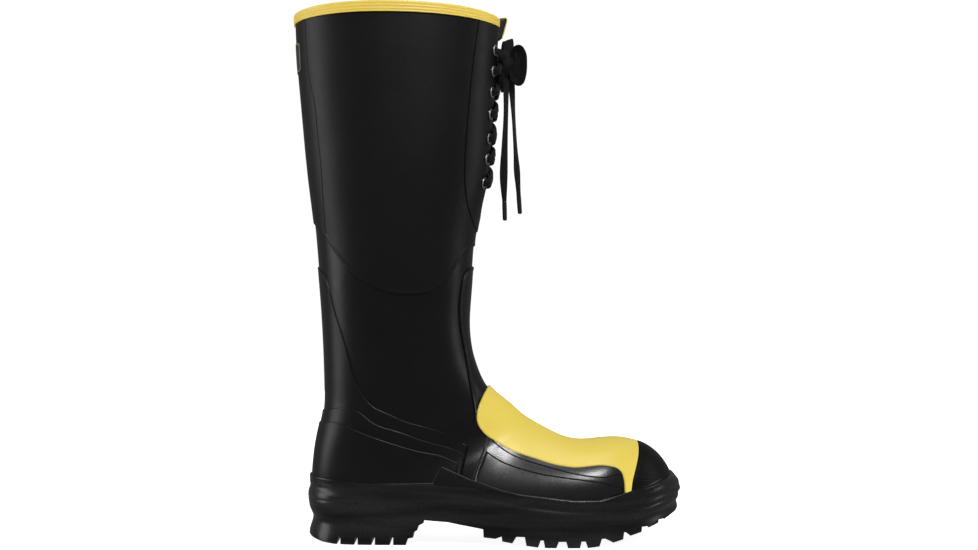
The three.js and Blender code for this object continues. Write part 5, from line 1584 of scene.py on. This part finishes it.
def build_pleat():
    """The pinched pleat of the gusset above the lacing, with the tape along its edge."""
    edge = smooth_line([
        [-1.2, 439.0], [7, 439.2], [14.9, 439.9], [14.0, 434.5], [12.1, 427.6], [10.2, 422.4],
        [6.5, 420.4], [2.6, 420.6], [2.4, 428.6], [-1.0, 430],
    ], 0.7, closed=True)
    centre, inward = edge.mean(axis=0), inward_of(edge)
    rows = []
    near_side = [(2.6, -1.5), (1.2, -1.45), (0.5, -1.15), (0.1, -0.55), (0.0, 0.0)]
    far_side = [(inset, -y) for inset, y in near_side[-2::-1]]
    for inset, y in near_side + far_side:
        moved = edge + inward * inset
        bow = 0.5 * np.sin(moved[:, 1] / 6)
        rows.append(np.column_stack([moved[:, 0], y + bow, moved[:, 1]]))
    for place, y in ((0, -1.2), (len(rows), 1.2)):
        middle = centre + (edge - centre) * 0.25
        rows.insert(place, np.column_stack([middle[:, 0], y + 0.5 * np.sin(middle[:, 1] / 6), middle[:, 1]]))
    stand_in("gusset_fold", np.vstack(rows), capped_faces(len(rows), len(edge)), COATED, "coated_cloth")
    line = [[1, 439.5], [8, 439.7], [13.8, 440.3], [15.2, 439.6], [14.3, 434], [12.4, 427.2], [11.0, 423.0]]
    path = [[x, 0, z] for x, z in line]
    count = len(path)
    sides, widths, thicks = [[0, 1, 0]] * count, [3.4] * count, [0.8] * count
    tape = ribbon("gusset_binding_look", path, sides, widths, thicks, TAPE, "yellow_tape", step=0.5)[0]
    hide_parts("gusset_binding")


# ---------------------------------------------------------------- carried-over CAD pieces inside the boot
def finish_hidden_nodes():
    """Gives the CAD pieces that stay in the scene a material of their own."""
    looks = {
        "steel_toe_cap": STEEL, "puncture_plate": STEEL, "steel_shank": STEEL, "metatarsal_guard": GUARD,
        "heel_stiffener": GUARD, "foot_padding": FELT, "insole_board": BOARD,
    }
    for name, material in looks.items():
        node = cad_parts[name]
        if node.material_slots:
            for place in node.material_slots:
                place.material = material
        else:
            node.data.materials.append(material)


# ---------------------------------------------------------------- floor, light
def add_stage():
    """Plain pale floor with a bright plain card well behind the boot, both kept out of its reflections."""

    def card(name, corners, material):
        mesh = bpy.data.meshes.new(name)
        mesh.from_pydata(corners, [], [(0, 1, 2, 3)])
        mesh.materials.append(material)
        obj = bpy.data.objects.new(name, mesh)
        bpy.context.collection.objects.link(obj)
        obj.visible_glossy = False

    white = {"Specular_IOR_Level": 0.0, "Emission_Color": (1, 1, 1, 1)}
    floor = Nodes("floor_look", 0.9, (0.8, 0.8, 0.8), **white)
    fade = floor.spread(floor.split(floor.place())["Y"], 0.02, 0.92)
    fade.node.inputs["From Min"].default_value = -0.19
    fade.node.inputs["From Max"].default_value = -0.10
    floor.link(fade, floor.shader.inputs["Emission Strength"])
    side, near, far, low, high = 2.4, -2.4, 1.6, -0.0005, 2.2
    corners = [(-side, near, low), (side, near, low), (side, far, low), (-side, far, low)]
    card("floor", corners, floor.finish())
    back = Nodes("backdrop_look", 1.0, (0, 0, 0), Emission_Strength=1.05, **white)
    corners = [(-side, far, -0.01), (side, far, -0.01), (side, far, high), (-side, far, high)]
    card("backdrop", corners, back.finish())


def add_light(name, place, aim, size, energy):
    """A soft rectangular lamp turned towards a point."""
    data = bpy.data.lights.new(name, "AREA")
    data.shape = "RECTANGLE"
    data.size, data.size_y = size
    data.energy = energy
    obj = bpy.data.objects.new(name, data)
    obj.location = place
    obj.rotation_euler = (Vector(aim) - Vector(place)).to_track_quat("-Z", "Y").to_euler()
    bpy.context.collection.objects.link(obj)


def add_lights():
    """A long strip either side for the edges, a key from the front and an even grey world as fill."""
    add_light("side_back", (-1.36, -0.15, 0.55), (-0.08, 0, 0.24), (0.6, 1.3), 7.6)
    add_light("side_front", (1.4, 0.0, 0.50), (0.0, 0, 0.24), (0.25, 1.0), 2.4)
    add_light("key_high", (0.30, -1.2, 1.4), (0.06, 0, 0.08), (0.40, 0.25), 17)
    add_light("top", (0.1, -0.1, 1.7), (0, 0, 0.2), (0.8, 0.5), 6)
    world = bpy.data.worlds.new("studio")
    world.use_nodes = True
    background = world.node_tree.nodes["Background"]
    background.inputs["Color"].default_value = (1, 1, 1, 1)
    background.inputs["Strength"].default_value = 0.16
    bpy.context.scene.world = world
    bpy.context.scene.view_settings.view_transform = "Standard"


# ---------------------------------------------------------------- build
build_lacing()
build_knot()
build_bow()
build_tails()
build_shell()
build_heel_overlays()
build_leg_overlays()
build_vamp_overlays()
build_toe_cap()
build_facings()
build_lining()
build_foxing()
build_outsole()
build_insole()
build_eyelets()
build_binding()
build_pleat()
finish_hidden_nodes()
add_stage()
add_lights()

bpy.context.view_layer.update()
